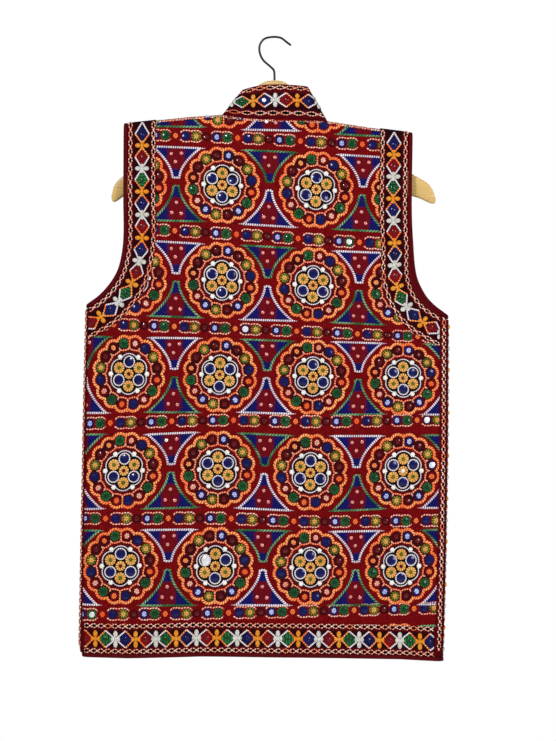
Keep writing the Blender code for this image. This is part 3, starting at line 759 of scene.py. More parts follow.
@dataclass(frozen=True)
class Wood:
    """Pale lacquered hardwood, sawn and turned smooth."""

    name: str = "lacquered_lotus_wood"
    light: str = "#D2B06C"
    dark: str = "#A8803C"
    grain_mm: float = 2.4

    def material(self) -> bpy.types.Material:
        """Hardwood with a thin clear lacquer: long soft grain along the bar."""
        make = Surface(self.name, 0.42, {"Coat Weight": 0.25, "Coat Roughness": 0.25, "IOR": 1.5})
        place = make.add("TexCoord").outputs["Object"]
        stretched = make.add("Mapping", {"Scale": (0.09, 1.0, 1.0)}, {"Vector": place}).outputs[0]
        swirl = {"Distortion": 16.0, "Detail": 4.0, "Detail Scale": 0.6}
        waves = {"bands_direction": "Z", "Scale": band_scale(self.grain_mm), **swirl}
        grain = make.add("TexWave", waves, {"Vector": stretched})
        pores = make.add("TexNoise", {"Scale": 900.0, "Detail": 2.0}, {"Vector": stretched})
        both = {0: grain.outputs["Fac"], 1: pores.outputs["Fac"]}
        relief = make.add("Math", {"operation": "MULTIPLY"}, both).outputs[0]
        share = make.add("MapRange", {"From Min": -0.25, "From Max": 0.5}, {0: relief})
        tones = {"data_type": "RGBA", 6: linear(self.dark), 7: linear(self.light)}
        colour = make.add("Mix", tones, {0: share.outputs[0]})
        bump = make.add("Bump", {"Strength": 0.15, "Distance": 0.0002}, {"Height": relief})
        return make.finished({"Base Color": colour.outputs[2], "Normal": bump.outputs[0]})


@dataclass(frozen=True)
class Steel:
    """Bright-drawn steel wire, dulled by handling."""

    name: str = "drawn_steel_wire"
    colour: str = "#3C3C40"
    dark: str = "#1C1C20"

    def material(self) -> bpy.types.Material:
        """Steel, drawn through a die: fine dull and bright spots along it."""
        make = Surface(self.name, 0.3, {"Metallic": 1.0})
        place = make.add("TexCoord").outputs["Object"]
        spots = make.add("TexNoise", {"Scale": 500.0, "Detail": 3.0}, {"Vector": place}).outputs["Fac"]
        tones = {"data_type": "RGBA", 6: linear(self.dark), 7: linear(self.colour)}
        colour = make.add("Mix", tones, {0: spots})
        rough = make.add("MapRange", {"To Min": 0.2, "To Max": 0.42}, {0: spots})
        return make.finished({"Base Color": colour.outputs[2], "Roughness": rough.outputs[0]})


class Yarn(Enum):
    """The embroidery's threads, fills and foils."""

    CRIMSON = Thread("crimson_rayon_thread", "#8E0A12", "#74080F", "#360307")
    RED = Thread("scarlet_rayon_thread", "#B01016", "#8E0A12", "#40040A")
    WINE = Thread("wine_red_rayon_thread", "#6E060C", "#58050A", "#2C0206")
    MAROON = Thread("maroon_rayon_thread", "#52060C", "#3A0408", "#180103")
    PEACH = Thread("orange_and_salmon_rayon_cord", "#EF7C44", "#F7AE6C", "#A02C10", 3.1, 0.5)
    SALMON = Thread("salmon_rayon_thread", "#EE7C52", "#F4A07A", "#981E14", 3.2, 0.3)
    PINK = Thread("pale_pink_rayon_thread", "#F3CDB8", "#EFA286", "#7A281C", 3.4, 0.5)
    WHITE = Thread("white_rayon_thread", "#E8E0E4", "#C6BAC6", "#54384A", 3.0, 0.2)
    CREAM = Thread("smooth_white_rayon_thread", "#EDE7E6", "#DCD2D6", "#9C8C98", 2.6, 0.2)
    SILVER = Thread("silver_grey_rayon_thread", "#FBFAF4", "#ECEBE2", "#C4C2B4", 3.4, 0.0)
    ORANGE = Thread("orange_rayon_thread", "#FFA22C", "#FFB448", "#F08418", 3.4, 0.0)
    CORAL = Thread("coral_rayon_thread", "#F8682E", "#F58A48", "#8A1E08", 3.2)
    GOLD = Thread("gold_rayon_thread", "#E2AE62", "#D89A4E", "#86501E", 4.0, 0.0)
    OLIVE = Thread("olive_rayon_thread", "#7E7A26", "#4E5E1C", "#1A2406", 4.2, 0.0)
    GREEN = Thread("green_rayon_thread", "#1F6A33", "#17502A", "#07180C", 4.0, 0.0)
    LEAF = Thread("green_and_white_cross_stitch", "#7EA67A", "#2E5E36", "#0C2C12", 2.7, 0.9)
    NAVY = Thread("navy_rayon_thread", "#191960", "#121242", "#04040E", 3.0)
    LILAC = Thread("lilac_white_rayon_thread", "#D2D6F4", "#B0B8E4", "#5A5A92", 3.4)
    BLACK = Thread("black_rayon_thread", "#0E060A", "#0A0408", "#010001", 2.4)
    FILL = TwoToneFill("navy_and_dark_red_fill", "#6E0812", "#14145E", "#05030C")
    NAVY_FOIL = Foil("navy_sequin_foil", "#0B0E52")
    GREEN_FOIL = Foil("green_sequin_foil", "#0A3A1A")
    RED_FOIL = Foil("dark_red_sequin_foil", "#620710")
    ROSE_FOIL = Foil("rose_sequin_foil", "#D88A84")
    # near-white and mostly diffuse: a painted white flash, over the coat's real reflection
    MIRROR = Foil("silvered_glass_mirror", "#F8F8F8", 0.35, 0.25)


YARNS = list(Yarn)


# Patches of embroidery, planned flat as (x, z, out)

@dataclass
class Patch:
    """A joined mesh planned flat, with its threads."""

    points: np.ndarray
    loops: np.ndarray
    sizes: np.ndarray
    uvs: np.ndarray
    yarns: np.ndarray
    beads: np.ndarray

    @property
    def starts(self) -> np.ndarray:
        """Number of each face's first corner."""
        return np.concatenate(([0], np.cumsum(self.sizes)[:-1]))

    def placed(self, places: np.ndarray) -> Patch:
        """The patch with new first two values for its points."""
        return replace(self, points=np.concatenate((places, self.points[:, 2:]), axis=1))

    def moved(self, x: float = 0.0, z: float = 0.0, turn: float = 0.0) -> Patch:
        """The patch turned about its origin and moved."""
        cosine, sine = math.cos(turn), math.sin(turn)
        along, across = self.points[:, 0], self.points[:, 1]
        places = (along * cosine - across * sine + x, along * sine + across * cosine + z)
        return self.placed(np.stack(places, axis=1))


def joined(patches: Sequence[Patch]) -> Patch:
    """All patches as one, with their beads numbered on."""
    shift, beads, loops, marks = 0, 0, [], []
    for patch in patches:
        loops.append(patch.loops + shift)
        marks.append(np.where(patch.beads > 0, patch.beads + beads, 0))
        shift += len(patch.points)
        beads += int(patch.beads.max(initial=0))
    stacks = {
        word: np.concatenate([getattr(patch, word) for patch in patches])
        for word in ("points", "sizes", "uvs", "yarns")
    }
    return Patch(loops=np.concatenate(loops), beads=np.concatenate(marks), **stacks)


def grid_net(points: np.ndarray, uvs: np.ndarray) -> tuple[bmesh.types.BMesh, dict]:
    """A net of faces on a grid of points.

    Args:
        points: (rows, columns, 3) places.
        uvs: (rows, columns, 2) in metres.

    Returns:
        The net, with its own UV layer, and each vertex's row and column.
    """
    rows, columns = points.shape[:2]
    bm = bmesh.new()
    layer = bm.loops.layers.uv.new("thread")
    bmesh.ops.create_grid(bm, x_segments=rows - 1, y_segments=columns - 1, size=0.5)
    spots = {}
    for vert in bm.verts:
        spots[vert] = (round((vert.co.x + 0.5) * (rows - 1)), round((vert.co.y + 0.5) * (columns - 1)))
        vert.co = points[spots[vert]]
    for face in bm.faces:
        for loop in face.loops:
            loop[layer].uv = uvs[spots[loop.vert]]
    return bm, spots


def net(points: np.ndarray, uvs: np.ndarray, yarn: Yarn, bead: bool = False) -> Patch:
    """A patch from a grid of points, closed where its edges meet.

    Args:
        points: (rows, columns, 3) as x, z and out.
        uvs: (rows, columns, 2) in metres.
        yarn: what it is made of.
        bead: whether it is a sequin or mirror that sits at its own slant.

    Returns:
        The patch.
    """
    bm, _ = grid_net(points, uvs)
    bmesh.ops.remove_doubles(bm, verts=bm.verts[:], dist=WELD)
    bm.verts.index_update()
    layer = bm.loops.layers.uv["thread"]
    corners = [loop for face in bm.faces for loop in face.loops]
    patch = Patch(
        np.array([vert.co[:] for vert in bm.verts]),
        np.array([loop.vert.index for loop in corners]),
        np.array([len(face.verts) for face in bm.faces]),
        np.array([loop[layer].uv[:] for loop in corners]),
        np.full(len(bm.faces), YARNS.index(yarn)),
        np.full(len(bm.verts), int(bead)),
    )
    bm.free()
    return patch


CORD_PROFILE = ((-0.5, 0.0), (-0.36, 0.72), (0.0, 1.0), (0.36, 0.72), (0.5, 0.0))
THIN_PROFILE = ((-0.5, 0.0), (0.0, 1.0), (0.5, 0.0))


def cord(
    path: np.ndarray,
    width: float,
    height: float,
    yarn: Yarn,
    closed: bool = False,
    base: float = 0.0,
    profile: Sequence[tuple[float, float]] = CORD_PROFILE,
    taper: float = 0.0,
) -> Patch:
    """A raised line of stitches along a path.

    Args:
        path: the line's points, (x, z).
        width: width over the thread.
        height: how far it stands out.
        yarn: its thread.
        closed: whether the path ends where it starts.
        base: height of its foot.
        profile: its section, in shares of the width and the height.
        taper: length at each end over which it narrows.

    Returns:
        The patch.
    """
    along = lengths_along(path)
    normal = left_of(path, closed)
    slim = np.ones(len(path))
    if taper:
        slim = np.clip(np.minimum(along, along[-1] - along) / taper, 0.12, 1.0)
    points = np.zeros((len(path), len(profile), 3))
    uvs = np.zeros((len(path), len(profile), 2))
    for k, (across, rise) in enumerate(profile):
        points[:, k, :2] = path + normal * (across * width * slim)[:, None]
        points[:, k, 2] = base + rise * height * slim
        if not closed:
            points[[0, -1], k, 2] = base
        uvs[:, k, 0] = along
        uvs[:, k, 1] = across * width
    return net(points, uvs, yarn)


def circle(radius: float, count: int, start: float = 0.0) -> np.ndarray:
    """Points round a circle, with the first again at the end."""
    angles = start + np.linspace(0.0, 2 * math.pi, count + 1)
    line = np.stack((np.cos(angles), np.sin(angles)), axis=1) * radius
    line[-1] = line[0]
    return line


def round_patch(
    radii: Sequence[float],
    heights: Sequence[float],
    yarn: Yarn,
    count: int,
    bead: bool = False,
    stretch: tuple[float, float] = (1.0, 1.0),
) -> Patch:
    """A round spot of radial stitches, or a sequin, from its middle out.

    Args:
        radii: radius of each ring.
        heights: height of each ring.
        yarn: what it is made of.
        count: how many steps round.
        bead: whether it sits at its own slant.
        stretch: how far it is stretched in x and z.

    Returns:
        The patch, about its own centre.
    """
    rim = circle(1.0, count)
    points = np.zeros((count + 1, len(radii), 3))
    uvs = np.zeros((count + 1, len(radii), 2))
    for k, (radius, height) in enumerate(zip(radii, heights)):
        points[:, k, :2] = rim * radius * np.array(stretch)
        points[:, k, 2] = height
        uvs[:, k, 0] = np.linspace(0.0, 2 * math.pi * radii[-1], count + 1)
        uvs[:, k, 1] = radius
    return net(points[:, ::-1], uvs[:, ::-1], yarn, bead)


class DotLook(NamedTuple):
    """How a round spot is stitched: its rim, its heart and their radii in mm."""

    rim: Yarn
    rim_mm: float
    heart: Yarn
    heart_mm: float


class Dot(Enum):
    """The round spots of the pattern."""

    NAVY = DotLook(Yarn.NAVY, 6.3, Yarn.NAVY_FOIL, 4.4)
    YELLOW = DotLook(Yarn.OLIVE, 6.5, Yarn.GOLD, 3.7)
    DARK = DotLook(Yarn.MAROON, 6.0, Yarn.RED_FOIL, 3.5)
    LILAC = DotLook(Yarn.NAVY, 6.3, Yarn.LILAC, 3.7)
    GREEN = DotLook(Yarn.GREEN, 6.5, Yarn.GREEN_FOIL, 3.9)
    ORANGE = DotLook(Yarn.CRIMSON, 5.8, Yarn.CORAL, 3.9)
    PINK = DotLook(Yarn.CRIMSON, 6.0, Yarn.PINK, 3.8)
    SALMON = DotLook(Yarn.MAROON, 6.0, Yarn.PEACH, 3.6)

    @functools.cache
    def patch(self) -> Patch:
        """The spot about its own centre: a stitched rim round a domed heart."""
        look = self.value
        rim, heart = look.rim_mm * MM, look.heart_mm * MM
        ring = round_patch(
            (heart * 0.8, heart * 1.12, (heart + rim) / 2, rim),
            (0.3 * MM, 0.75 * MM, 0.85 * MM, 0.1 * MM),
            look.rim,
            18,
        )
        foil = isinstance(look.heart.value, Foil)
        if foil:
            dome = round_patch(
                (0.0, heart * 0.55, heart), (1.05 * MM, 0.95 * MM, 0.55 * MM), look.heart, 14, bead=True
            )
        else:
            dome = round_patch(
                (0.0, heart * 0.35, heart * 0.75, heart),
                (0.9 * MM, 1.15 * MM, 1.1 * MM, 0.4 * MM),
                look.heart,
                14,
                stretch=(0.84, 1.04),
            )
        return joined([ring, dome])


def clock(k: int, count: int, start: float, radius: float) -> tuple[float, float]:
    """Place of the k-th of so many spots, clockwise from a start angle in degrees from the top."""
    angle = math.radians(90.0 - start - 360.0 * k / count)
    return radius * math.cos(angle), radius * math.sin(angle)


DOTS_WHEN_GOLD_IS_UP = (
    Dot.LILAC, Dot.DARK, Dot.YELLOW, Dot.NAVY, Dot.ORANGE, Dot.GREEN, Dot.LILAC, Dot.DARK,
    Dot.YELLOW, Dot.LILAC, Dot.PINK, Dot.GREEN, Dot.SALMON, Dot.DARK, Dot.YELLOW, Dot.DARK,
)
DOTS_WHEN_NAVY_IS_UP = (
    Dot.PINK, Dot.NAVY, Dot.YELLOW, Dot.DARK, Dot.ORANGE, Dot.GREEN, Dot.PINK, Dot.NAVY,
    Dot.ORANGE, Dot.GREEN, Dot.PINK, Dot.NAVY, Dot.YELLOW, Dot.DARK, Dot.SALMON, Dot.GREEN,
)


@dataclass(frozen=True)
class Medallion:
    """The round motif: a six-spot rosette in a ring of sixteen spots and a scalloped cord."""

    gold_up: bool
    scallops: int = 16
    cord_mm: float = 47.4
    scallop_mm: float = 2.4
    spot_ring_mm: float = 40.4
    inner_ring_mm: float = 32.4
    rosette_mm: float = 15.9

    def scalloped(self, radius: float, depth: float, lobes: int, start: float, count: int) -> np.ndarray:
        """Line of a scalloped ring, with outward lobes and inward cusps."""
        angles = np.linspace(0.0, 2 * math.pi, count + 1)
        lobe = np.abs(np.cos((angles - start) * lobes / 2)) ** 0.75
        radii = radius - depth + 2 * depth * lobe
        line = np.stack((np.cos(angles) * radii, np.sin(angles) * radii), axis=1)
        line[-1] = line[0]
        return line

    def outer(self) -> list[Patch]:
        """The scalloped cord, its dark ground and the sixteen spots."""
        first = math.radians(90.0 - 180.0 / self.scallops)
        line = self.scalloped(self.cord_mm * MM, self.scallop_mm * MM, self.scallops, first, 192)
        parts = [
            cord(line, 3.7 * MM, 1.3 * MM, Yarn.PEACH, closed=True),
            round_patch((33.2 * MM, 39.0 * MM, 45.4 * MM), (0.25 * MM, 0.25 * MM, 0.2 * MM), Yarn.MAROON, 72),
        ]
        dots = DOTS_WHEN_GOLD_IS_UP if self.gold_up else DOTS_WHEN_NAVY_IS_UP
        half = 180.0 / self.scallops
        for k, dot in enumerate(dots):
            x, z = clock(k, self.scallops, half, self.spot_ring_mm * MM)
            parts.append(dot.patch().moved(x, z, math.atan2(-x, z)))
            spike_x, spike_z = clock(k, self.scallops, 0.0, (self.inner_ring_mm + 2.6) * MM)
            spike = round_patch((0.0, 1.9 * MM), (0.9 * MM, 0.15 * MM), Yarn.PINK, 5, stretch=(0.75, 1.35))
            parts.append(spike.moved(spike_x, spike_z, math.atan2(-spike_x, spike_z)))
        for sign in (1, -1):
            stub = np.array([(0.0, sign * r * MM) for r in (33.5, 37.0, 41.0, 45.0, 49.5)])
            parts.append(cord(stub, 2.3 * MM, 1.1 * MM, Yarn.PEACH))
        return parts

    def inner(self) -> list[Patch]:
        """The ring, the dark disc and the rosette."""
        first = math.radians(90.0 - 180.0 / self.scallops)
        ring = self.scalloped(self.inner_ring_mm * MM, -0.9 * MM, self.scallops, first, 160)
        parts = [
            cord(ring, 2.2 * MM, 1.1 * MM, Yarn.SALMON, closed=True),
            round_patch((27.4 * MM, 29.0 * MM, 31.3 * MM), (0.2 * MM, 0.5 * MM, 0.3 * MM), Yarn.WINE, 64),
            round_patch(
                (0.0, 8.0 * MM, 14.0 * MM, 21.0 * MM, 28.2 * MM),
                (0.3 * MM,) * 4 + (0.2 * MM,),
                Yarn.BLACK,
                48,
            ),
        ]
        lobe_start = math.radians(90.0)
        edge = self.scalloped(24.3 * MM, 2.2 * MM, 6, lobe_start, 96)
        parts.append(cord(edge, 1.5 * MM, 0.9 * MM, Yarn.CREAM, closed=True, base=0.2 * MM))
        for k in range(6):
            x, z = clock(k, 6, 0.0, self.rosette_mm * MM)
            gold = (k % 2 == 0) == self.gold_up
            spot = self.gold_spot() if gold else self.navy_spot()
            parts.append(spot.moved(x, z, math.atan2(-x, z)))
            knot_x, knot_z = clock(k, 6, 30.0, 25.6 * MM)
            knot = round_patch(
                (0.0, 2.2 * MM, 3.2 * MM),
                (1.9 * MM, 1.5 * MM, 0.2 * MM),
                Yarn.SILVER,
                10,
                stretch=(1.0, 0.95),
            )
            parts.append(knot.moved(knot_x, knot_z, math.atan2(-knot_x, knot_z)))
        parts.append(
            round_patch((2.4 * MM, 4.0 * MM, 6.6 * MM), (0.5 * MM, 1.0 * MM, 0.3 * MM), Yarn.GOLD, 18)
        )
        parts.append(round_patch((0.0, 2.7 * MM), (0.9 * MM, 0.6 * MM), Yarn.RED_FOIL, 10, bead=True))
        return parts

    def gold_spot(self) -> Patch:
        """A spot of radial gold stitches with a green eye."""
        return joined(
            [
                round_patch(
                    (1.6 * MM, 3.2 * MM, 5.8 * MM, 7.4 * MM),
                    (0.6 * MM, 1.1 * MM, 1.1 * MM, 0.25 * MM),
                    Yarn.GOLD,
                    22,
                ),
                round_patch((0.0, 1.6 * MM, 3.2 * MM), (1.4 * MM, 1.3 * MM, 0.9 * MM), Yarn.OLIVE, 12),
            ]
        )

    def navy_spot(self) -> Patch:
        """A navy sequin in a white ring."""
        return joined(
            [
                cord(circle(7.2 * MM, 26), 1.8 * MM, 1.2 * MM, Yarn.CREAM, closed=True, base=0.2 * MM),
                round_patch(
                    (0.0, 2.2 * MM, 4.6 * MM, 6.4 * MM),
                    (1.35 * MM, 1.25 * MM, 0.95 * MM, 0.4 * MM),
                    Yarn.NAVY_FOIL,
                    20,
                    bead=True,
                ),
            ]
        )

    @functools.cache
    def patch(self) -> Patch:
        """The whole motif about its centre."""
        return joined(self.outer() + self.inner())


COLUMN = 126.8 * MM
ROW_PITCH = 130.7 * MM
SEWN_SHIFT = 0.25 * MM
SEWN_TURN = 0.012

# The medallions are this much taller than wide
TALLER = 1.03


@dataclass(frozen=True)
class Triangle:
    """The three-cornered motif between two medallions, with sides that follow their rings."""

    up: bool
    outline: Yarn

    @property
    def sign(self) -> int:
        """+1 for the motif that hangs above the row's middle, -1 for the one below."""
        return 1 if self.up else -1

    @property
    def reach(self) -> tuple[float, float]:
        """Distance of the tip and of the base from the row's middle."""
        return (7.4 * MM, 49.3 * MM) if self.up else (4.6 * MM, 52.3 * MM)

    def half_width(self, height: np.ndarray) -> np.ndarray:
        """Half the motif's width so far from the row's middle."""
        tip, base = self.reach
        share = (height - tip) / (base - tip)
        narrow, wide, bend = (4.6, 32.5, 1.8) if self.up else (3.6, 34.0, 1.8)
        return (narrow + (wide - narrow) * share**bend) * MM

    def fill(self) -> Patch:
        """The field, whose second UV value is 0 in the heart and 1 in the three corners."""
        tip, base = self.reach
        heights = np.linspace(tip, base, 15)
        across = np.linspace(-1.0, 1.0, 11)
        points = np.zeros((15, 11, 3))
        points[:, :, 0] = np.maximum(self.half_width(heights) - 1.0 * MM, 0.0)[:, None] * across
        points[:, :, 1] = self.sign * heights[:, None]
        points[:, :, 2] = 0.3 * MM
        heart = tip + (base - tip) * 0.66
        ways = ((0.0, -1.0, 16.0), (1.0, 0.1, 12.0), (-1.0, 0.1, 12.0))
        reaches = [
            (points[:, :, 0] * x + (heights[:, None] - heart) * z) / (far * MM) for x, z, far in ways
        ]
        uvs = np.zeros((15, 11, 2))
        uvs[:, :, 0] = points[:, :, 0]
        rim = np.where(np.abs(across) > 0.95, 0.8, 0.0)[None]
        uvs[:, :, 1] = np.clip((np.maximum.reduce(reaches) - 0.85) / 0.3, rim, 1.0)
        return net(points, uvs, Yarn.FILL)

    def sequins(self) -> list[Patch]:
        """Three small sequins, each held by a stitched ring."""
        spots = ((0.0, 27.0), (-6.5, 41.0), (6.3, 42.0))
        if self.up:
            spots = ((-7.0, 40.5), (6.8, 41.5), (-1.0, 29.5))
        ring = round_patch((1.7 * MM, 2.3 * MM, 3.3 * MM), (0.5 * MM, 0.7 * MM, 0.3 * MM), Yarn.CRIMSON, 12)
        radii, heights = (0.0, 1.4 * MM, 2.4 * MM), (1.3 * MM, 1.15 * MM, 0.7 * MM)
        foil = round_patch(radii, heights, Yarn.ROSE_FOIL, 10, bead=True)
        return [joined([ring, foil]).moved(x * MM, self.sign * z * MM) for x, z in spots]

    @functools.cache
    def patch(self) -> Patch:
        """The fill, the outline of short stitches and the sequins."""
        tip, base = self.reach
        heights = np.linspace(tip, base, 15)
        widths = self.half_width(heights)
        parts = [self.fill(), *self.sequins()]
        for side in (-1, 1):
            line = np.stack((side * widths, self.sign * heights), axis=1)
            line = np.concatenate((np.array([(0.0, self.sign * tip)]), line))
            parts.append(cord(even(line, 34), 3.2 * MM, 1.0 * MM, self.outline))
        wide = widths[-1] + 7.0 * MM
        line = np.stack((np.linspace(-wide, wide, 36), np.full(36, self.sign * base)), axis=1)
        parts.append(cord(line, 3.0 * MM, 1.0 * MM, self.outline, taper=8.0 * MM))
        return joined(parts)


STRIPE_DOTS = (Dot.ORANGE, Dot.NAVY, Dot.YELLOW, Dot.DARK, Dot.LILAC, Dot.GREEN)


@dataclass(frozen=True)
class DotStripe:
    """The stripe of spots between two scalloped lines, which parts the rows of medallions."""

    start: float = -1.6
    stop: float = 4.4
    phase: float = 0.489

    def line(self, left: float, right: float, sign: int) -> np.ndarray:
        """One scalloped line over a pair of spots, its ends dipping at the single ones."""
        pitch = COLUMN / 9
        first = left + 0.45 * pitch
        last = right - 0.45 * pitch
        xs = np.linspace(first, last, 19)
        middle = (left + right) / 2
        lobe = np.abs(xs - middle) / pitch
        height = 7.9 - 1.1 * np.clip(1 - lobe / 0.22, 0.0, 1.0)
        ends = np.clip((lobe - 0.72) / 0.34, 0.0, 1.0)
        height = height - 3.6 * ends**1.3
        return np.stack((xs, sign * height * MM), axis=1)

    @functools.cache
    def patch(self) -> Patch:
        """The stripe along x, in lattice columns from its start to its stop."""
        parts = []
        pitch = COLUMN / 9
        first = math.ceil((self.start - self.phase) * 9)
        last = math.floor((self.stop - self.phase) * 9)
        for k in range(first, last + 1):
            x = self.phase * COLUMN + k * pitch
            parts.append(STRIPE_DOTS[k % 6].patch().moved(x, 0.0))
            if k % 3 == 0 and k + 3 <= last:
                for sign in (1, -1):
                    line = self.line(x, x + 3 * pitch, sign)
                    parts.append(cord(line, 1.7 * MM, 0.9 * MM, Yarn.PINK, profile=THIN_PROFILE))
        return joined(parts)


@functools.cache
def chain_link(pitch: float, width: float, yarn: Yarn, thread: float = 1.45 * MM) -> Patch:
    """One open loop of a chain row, along x from 0, and the cross that ties it to the next.

    Args:
        pitch: distance from loop to loop.
        width: width over the loop.
        yarn: its thread.
        thread: width of the thread.

    Returns:
        The patch.
    """
    reach = 0.80 * pitch
    share = np.linspace(0.0, 1.0, 10)
    rise = (width - thread) / 2 * np.sin(math.pi * share) ** 0.7
    upper = np.stack((share * reach, rise), axis=1)
    lower = np.stack((share[::-1] * reach, -rise[::-1]), axis=1)
    line = np.concatenate((upper, lower[1:]))
    line[-1] = line[0]
    parts = [cord(line, thread, 1.0 * MM, yarn, closed=True, profile=THIN_PROFILE)]
    hole = round_patch(
        (0.0, 1.0), (0.35 * MM, 0.3 * MM), Yarn.BLACK, 8, stretch=(reach * 0.40, (width - thread) * 0.42)
    )
    parts.append(hole.moved(reach / 2))
    for sign in (1, -1):
        ends = ((reach * 0.94, sign * 1.1 * MM), (pitch * 1.05, -sign * 1.1 * MM))
        tie = np.array((ends[0], ((reach + pitch) / 2, 0.0), ends[1]))
        parts.append(cord(tie, thread * 0.9, 0.8 * MM, yarn, profile=THIN_PROFILE))
    return joined(parts)


@functools.cache
def flower(length: float, width: float, yarn: Yarn) -> Patch:
    """A small flower: two long satin petals across the strip and two short ones along it."""
    radii = (0.0, 0.5, 0.85, 1.0)
    heights = (1.9 * MM, 1.75 * MM, 1.1 * MM, 0.15 * MM)
    long_petal = round_patch(radii, heights, yarn, 14, stretch=(width * 0.37, length * 0.20))
    short_petal = round_patch(radii, heights, yarn, 14, stretch=(width * 0.34, length * 0.135))
    parts = [round_patch((0.0, 1.0), (1.9 * MM, 0.8 * MM), yarn, 12, stretch=(width * 0.26, length * 0.12))]
    for sign in (1, -1):
        parts.append(long_petal.moved(0.0, sign * length * 0.30, 0.0))
        parts.append(short_petal.moved(sign * width * 0.46, 0.0, 0.0))
    return joined(parts)


DIAMOND_FILLS = {
    "B": (Yarn.NAVY, Yarn.NAVY_FOIL),
    "R": (Yarn.CRIMSON, Yarn.RED_FOIL),
    "G": (Yarn.GREEN, Yarn.GREEN_FOIL),
}


class RowSizes(NamedTuple):
    """Sizes of a row of diamonds and flowers, along and across the strip."""

    pitch: float
    half_along: float
    half_across: float
    flower_width: float


ARMHOLE_ROWS = {
    Side.LEFT: RowSizes(pitch=31.65 * MM, half_along=13.2 * MM, half_across=9.6 * MM, flower_width=8.4 * MM),
    Side.RIGHT: RowSizes(pitch=30.2 * MM, half_along=13.0 * MM, half_across=9.6 * MM, flower_width=8.4 * MM),
}
ARMHOLE_STARTS = {Side.LEFT: 17.4 * MM, Side.RIGHT: 18.6 * MM}
HEM_ROW = RowSizes(pitch=27.7 * MM, half_along=10.9 * MM, half_across=11.6 * MM, flower_width=8.2 * MM)
SIDE_ROW = RowSizes(pitch=29.4 * MM, half_along=11.8 * MM, half_across=12.0 * MM, flower_width=8.4 * MM)
COLLAR_ROW = RowSizes(pitch=30.1 * MM, half_along=11.8 * MM, half_across=9.8 * MM, flower_width=8.2 * MM)


@functools.cache
def diamond(fill: str, sizes: RowSizes, before: Yarn, after: Yarn) -> Patch:
    """A stitched diamond about its centre, its outline in two half colours.

    Args:
        fill: the fill's letter.
        sizes: the row's sizes.
        before: thread of the outline's half on the side of the strip's start.
        after: thread of the other half.

    Returns:
        The patch.
    """
    thread, foil = DIAMOND_FILLS[fill]
    half, high = sizes.half_along, sizes.half_across
    points = np.zeros((7, 7, 3))
    for i, u in enumerate(np.linspace(-1, 1, 7)):
        for j, v in enumerate(np.linspace(-1, 1, 7)):
            points[i, j] = (0.86 * half * (u - v) / 2, 0.84 * high * (u + v) / 2, 0.5 * MM)
    parts = [net(points, points[:, :, :2].copy(), thread)]
    for sign, yarn in ((-1, before), (1, after)):
        tip = sizes.pitch / 2 if yarn is Yarn.CREAM else half
        for side in (1, -1):
            line = np.stack((sign * np.linspace(0.0, tip, 10), side * np.linspace(high, 0.0, 10)), axis=1)
            parts.append(cord(line, 2.0 * MM, 1.0 * MM, yarn, profile=THIN_PROFILE))
    parts.append(
        round_patch((0.0, 1.9 * MM, 3.0 * MM), (1.15 * MM, 1.05 * MM, 0.6 * MM), foil, 12, bead=True)
    )
    return joined(parts)


def diamond_row(letters: str, sizes: RowSizes) -> Patch:
    """Diamonds and flowers by turns along x, from the first diamond's centre at 0.

    Args:
        letters: the diamonds' fills in order; the flower after the first one is orange.
        sizes: the row's sizes.

    Returns:
        The patch.
    """
    parts = []
    for k, letter in enumerate(letters):
        orange = k % 2 == 0
        threads = (Yarn.CREAM, Yarn.PEACH) if orange else (Yarn.PEACH, Yarn.CREAM)
        parts.append(diamond(letter, sizes, *threads).moved(k * sizes.pitch))
        petals = Yarn.ORANGE if orange else Yarn.SILVER
        blossom = flower(sizes.half_across * 2.0, sizes.flower_width, petals)
        parts.append(blossom.moved((k + 0.5) * sizes.pitch))
    return joined(parts)


def chain_row(length: float, pitch: float, width: float, seed: int) -> Patch:
    """A row of chain links along x, in pale pink and peach threads."""
    chance = np.random.default_rng(seed)
    parts = []
    for k in range(int(length / pitch)):
        yarn = Yarn.PINK if chance.random() < 0.93 else Yarn.SALMON
        parts.append(chain_link(pitch, width, yarn).moved(k * pitch))
    return joined(parts)


class Chain(NamedTuple):
    """A chain row's pitch and width, and its offset from the middle of its strip."""

    pitch: float
    width: float
    offset: float


ARMHOLE_CHAINS = (
    Chain(pitch=12.0 * MM, width=5.6 * MM, offset=-16.0 * MM),
    Chain(pitch=12.0 * MM, width=5.6 * MM, offset=15.4 * MM),
)
HEM_CHAINS = (
    Chain(pitch=9.7 * MM, width=6.6 * MM, offset=-17.0 * MM),
    Chain(pitch=9.7 * MM, width=6.6 * MM, offset=17.2 * MM),
)
COLLAR_CHAINS = (
    Chain(pitch=17.7 * MM, width=6.8 * MM, offset=-15.8 * MM),
    Chain(pitch=13.9 * MM, width=5.8 * MM, offset=19.3 * MM),
)


def chain_rows(length: float, chains: Sequence[Chain], seed: int, along: float = 0.0) -> list[Patch]:
    """Chain rows beside each other, from a place along the strip."""
    return [
        chain_row(length, chain.pitch, chain.width, seed + k).moved(along, chain.offset)
        for k, chain in enumerate(chains)
    ]


# Where each pattern is laid

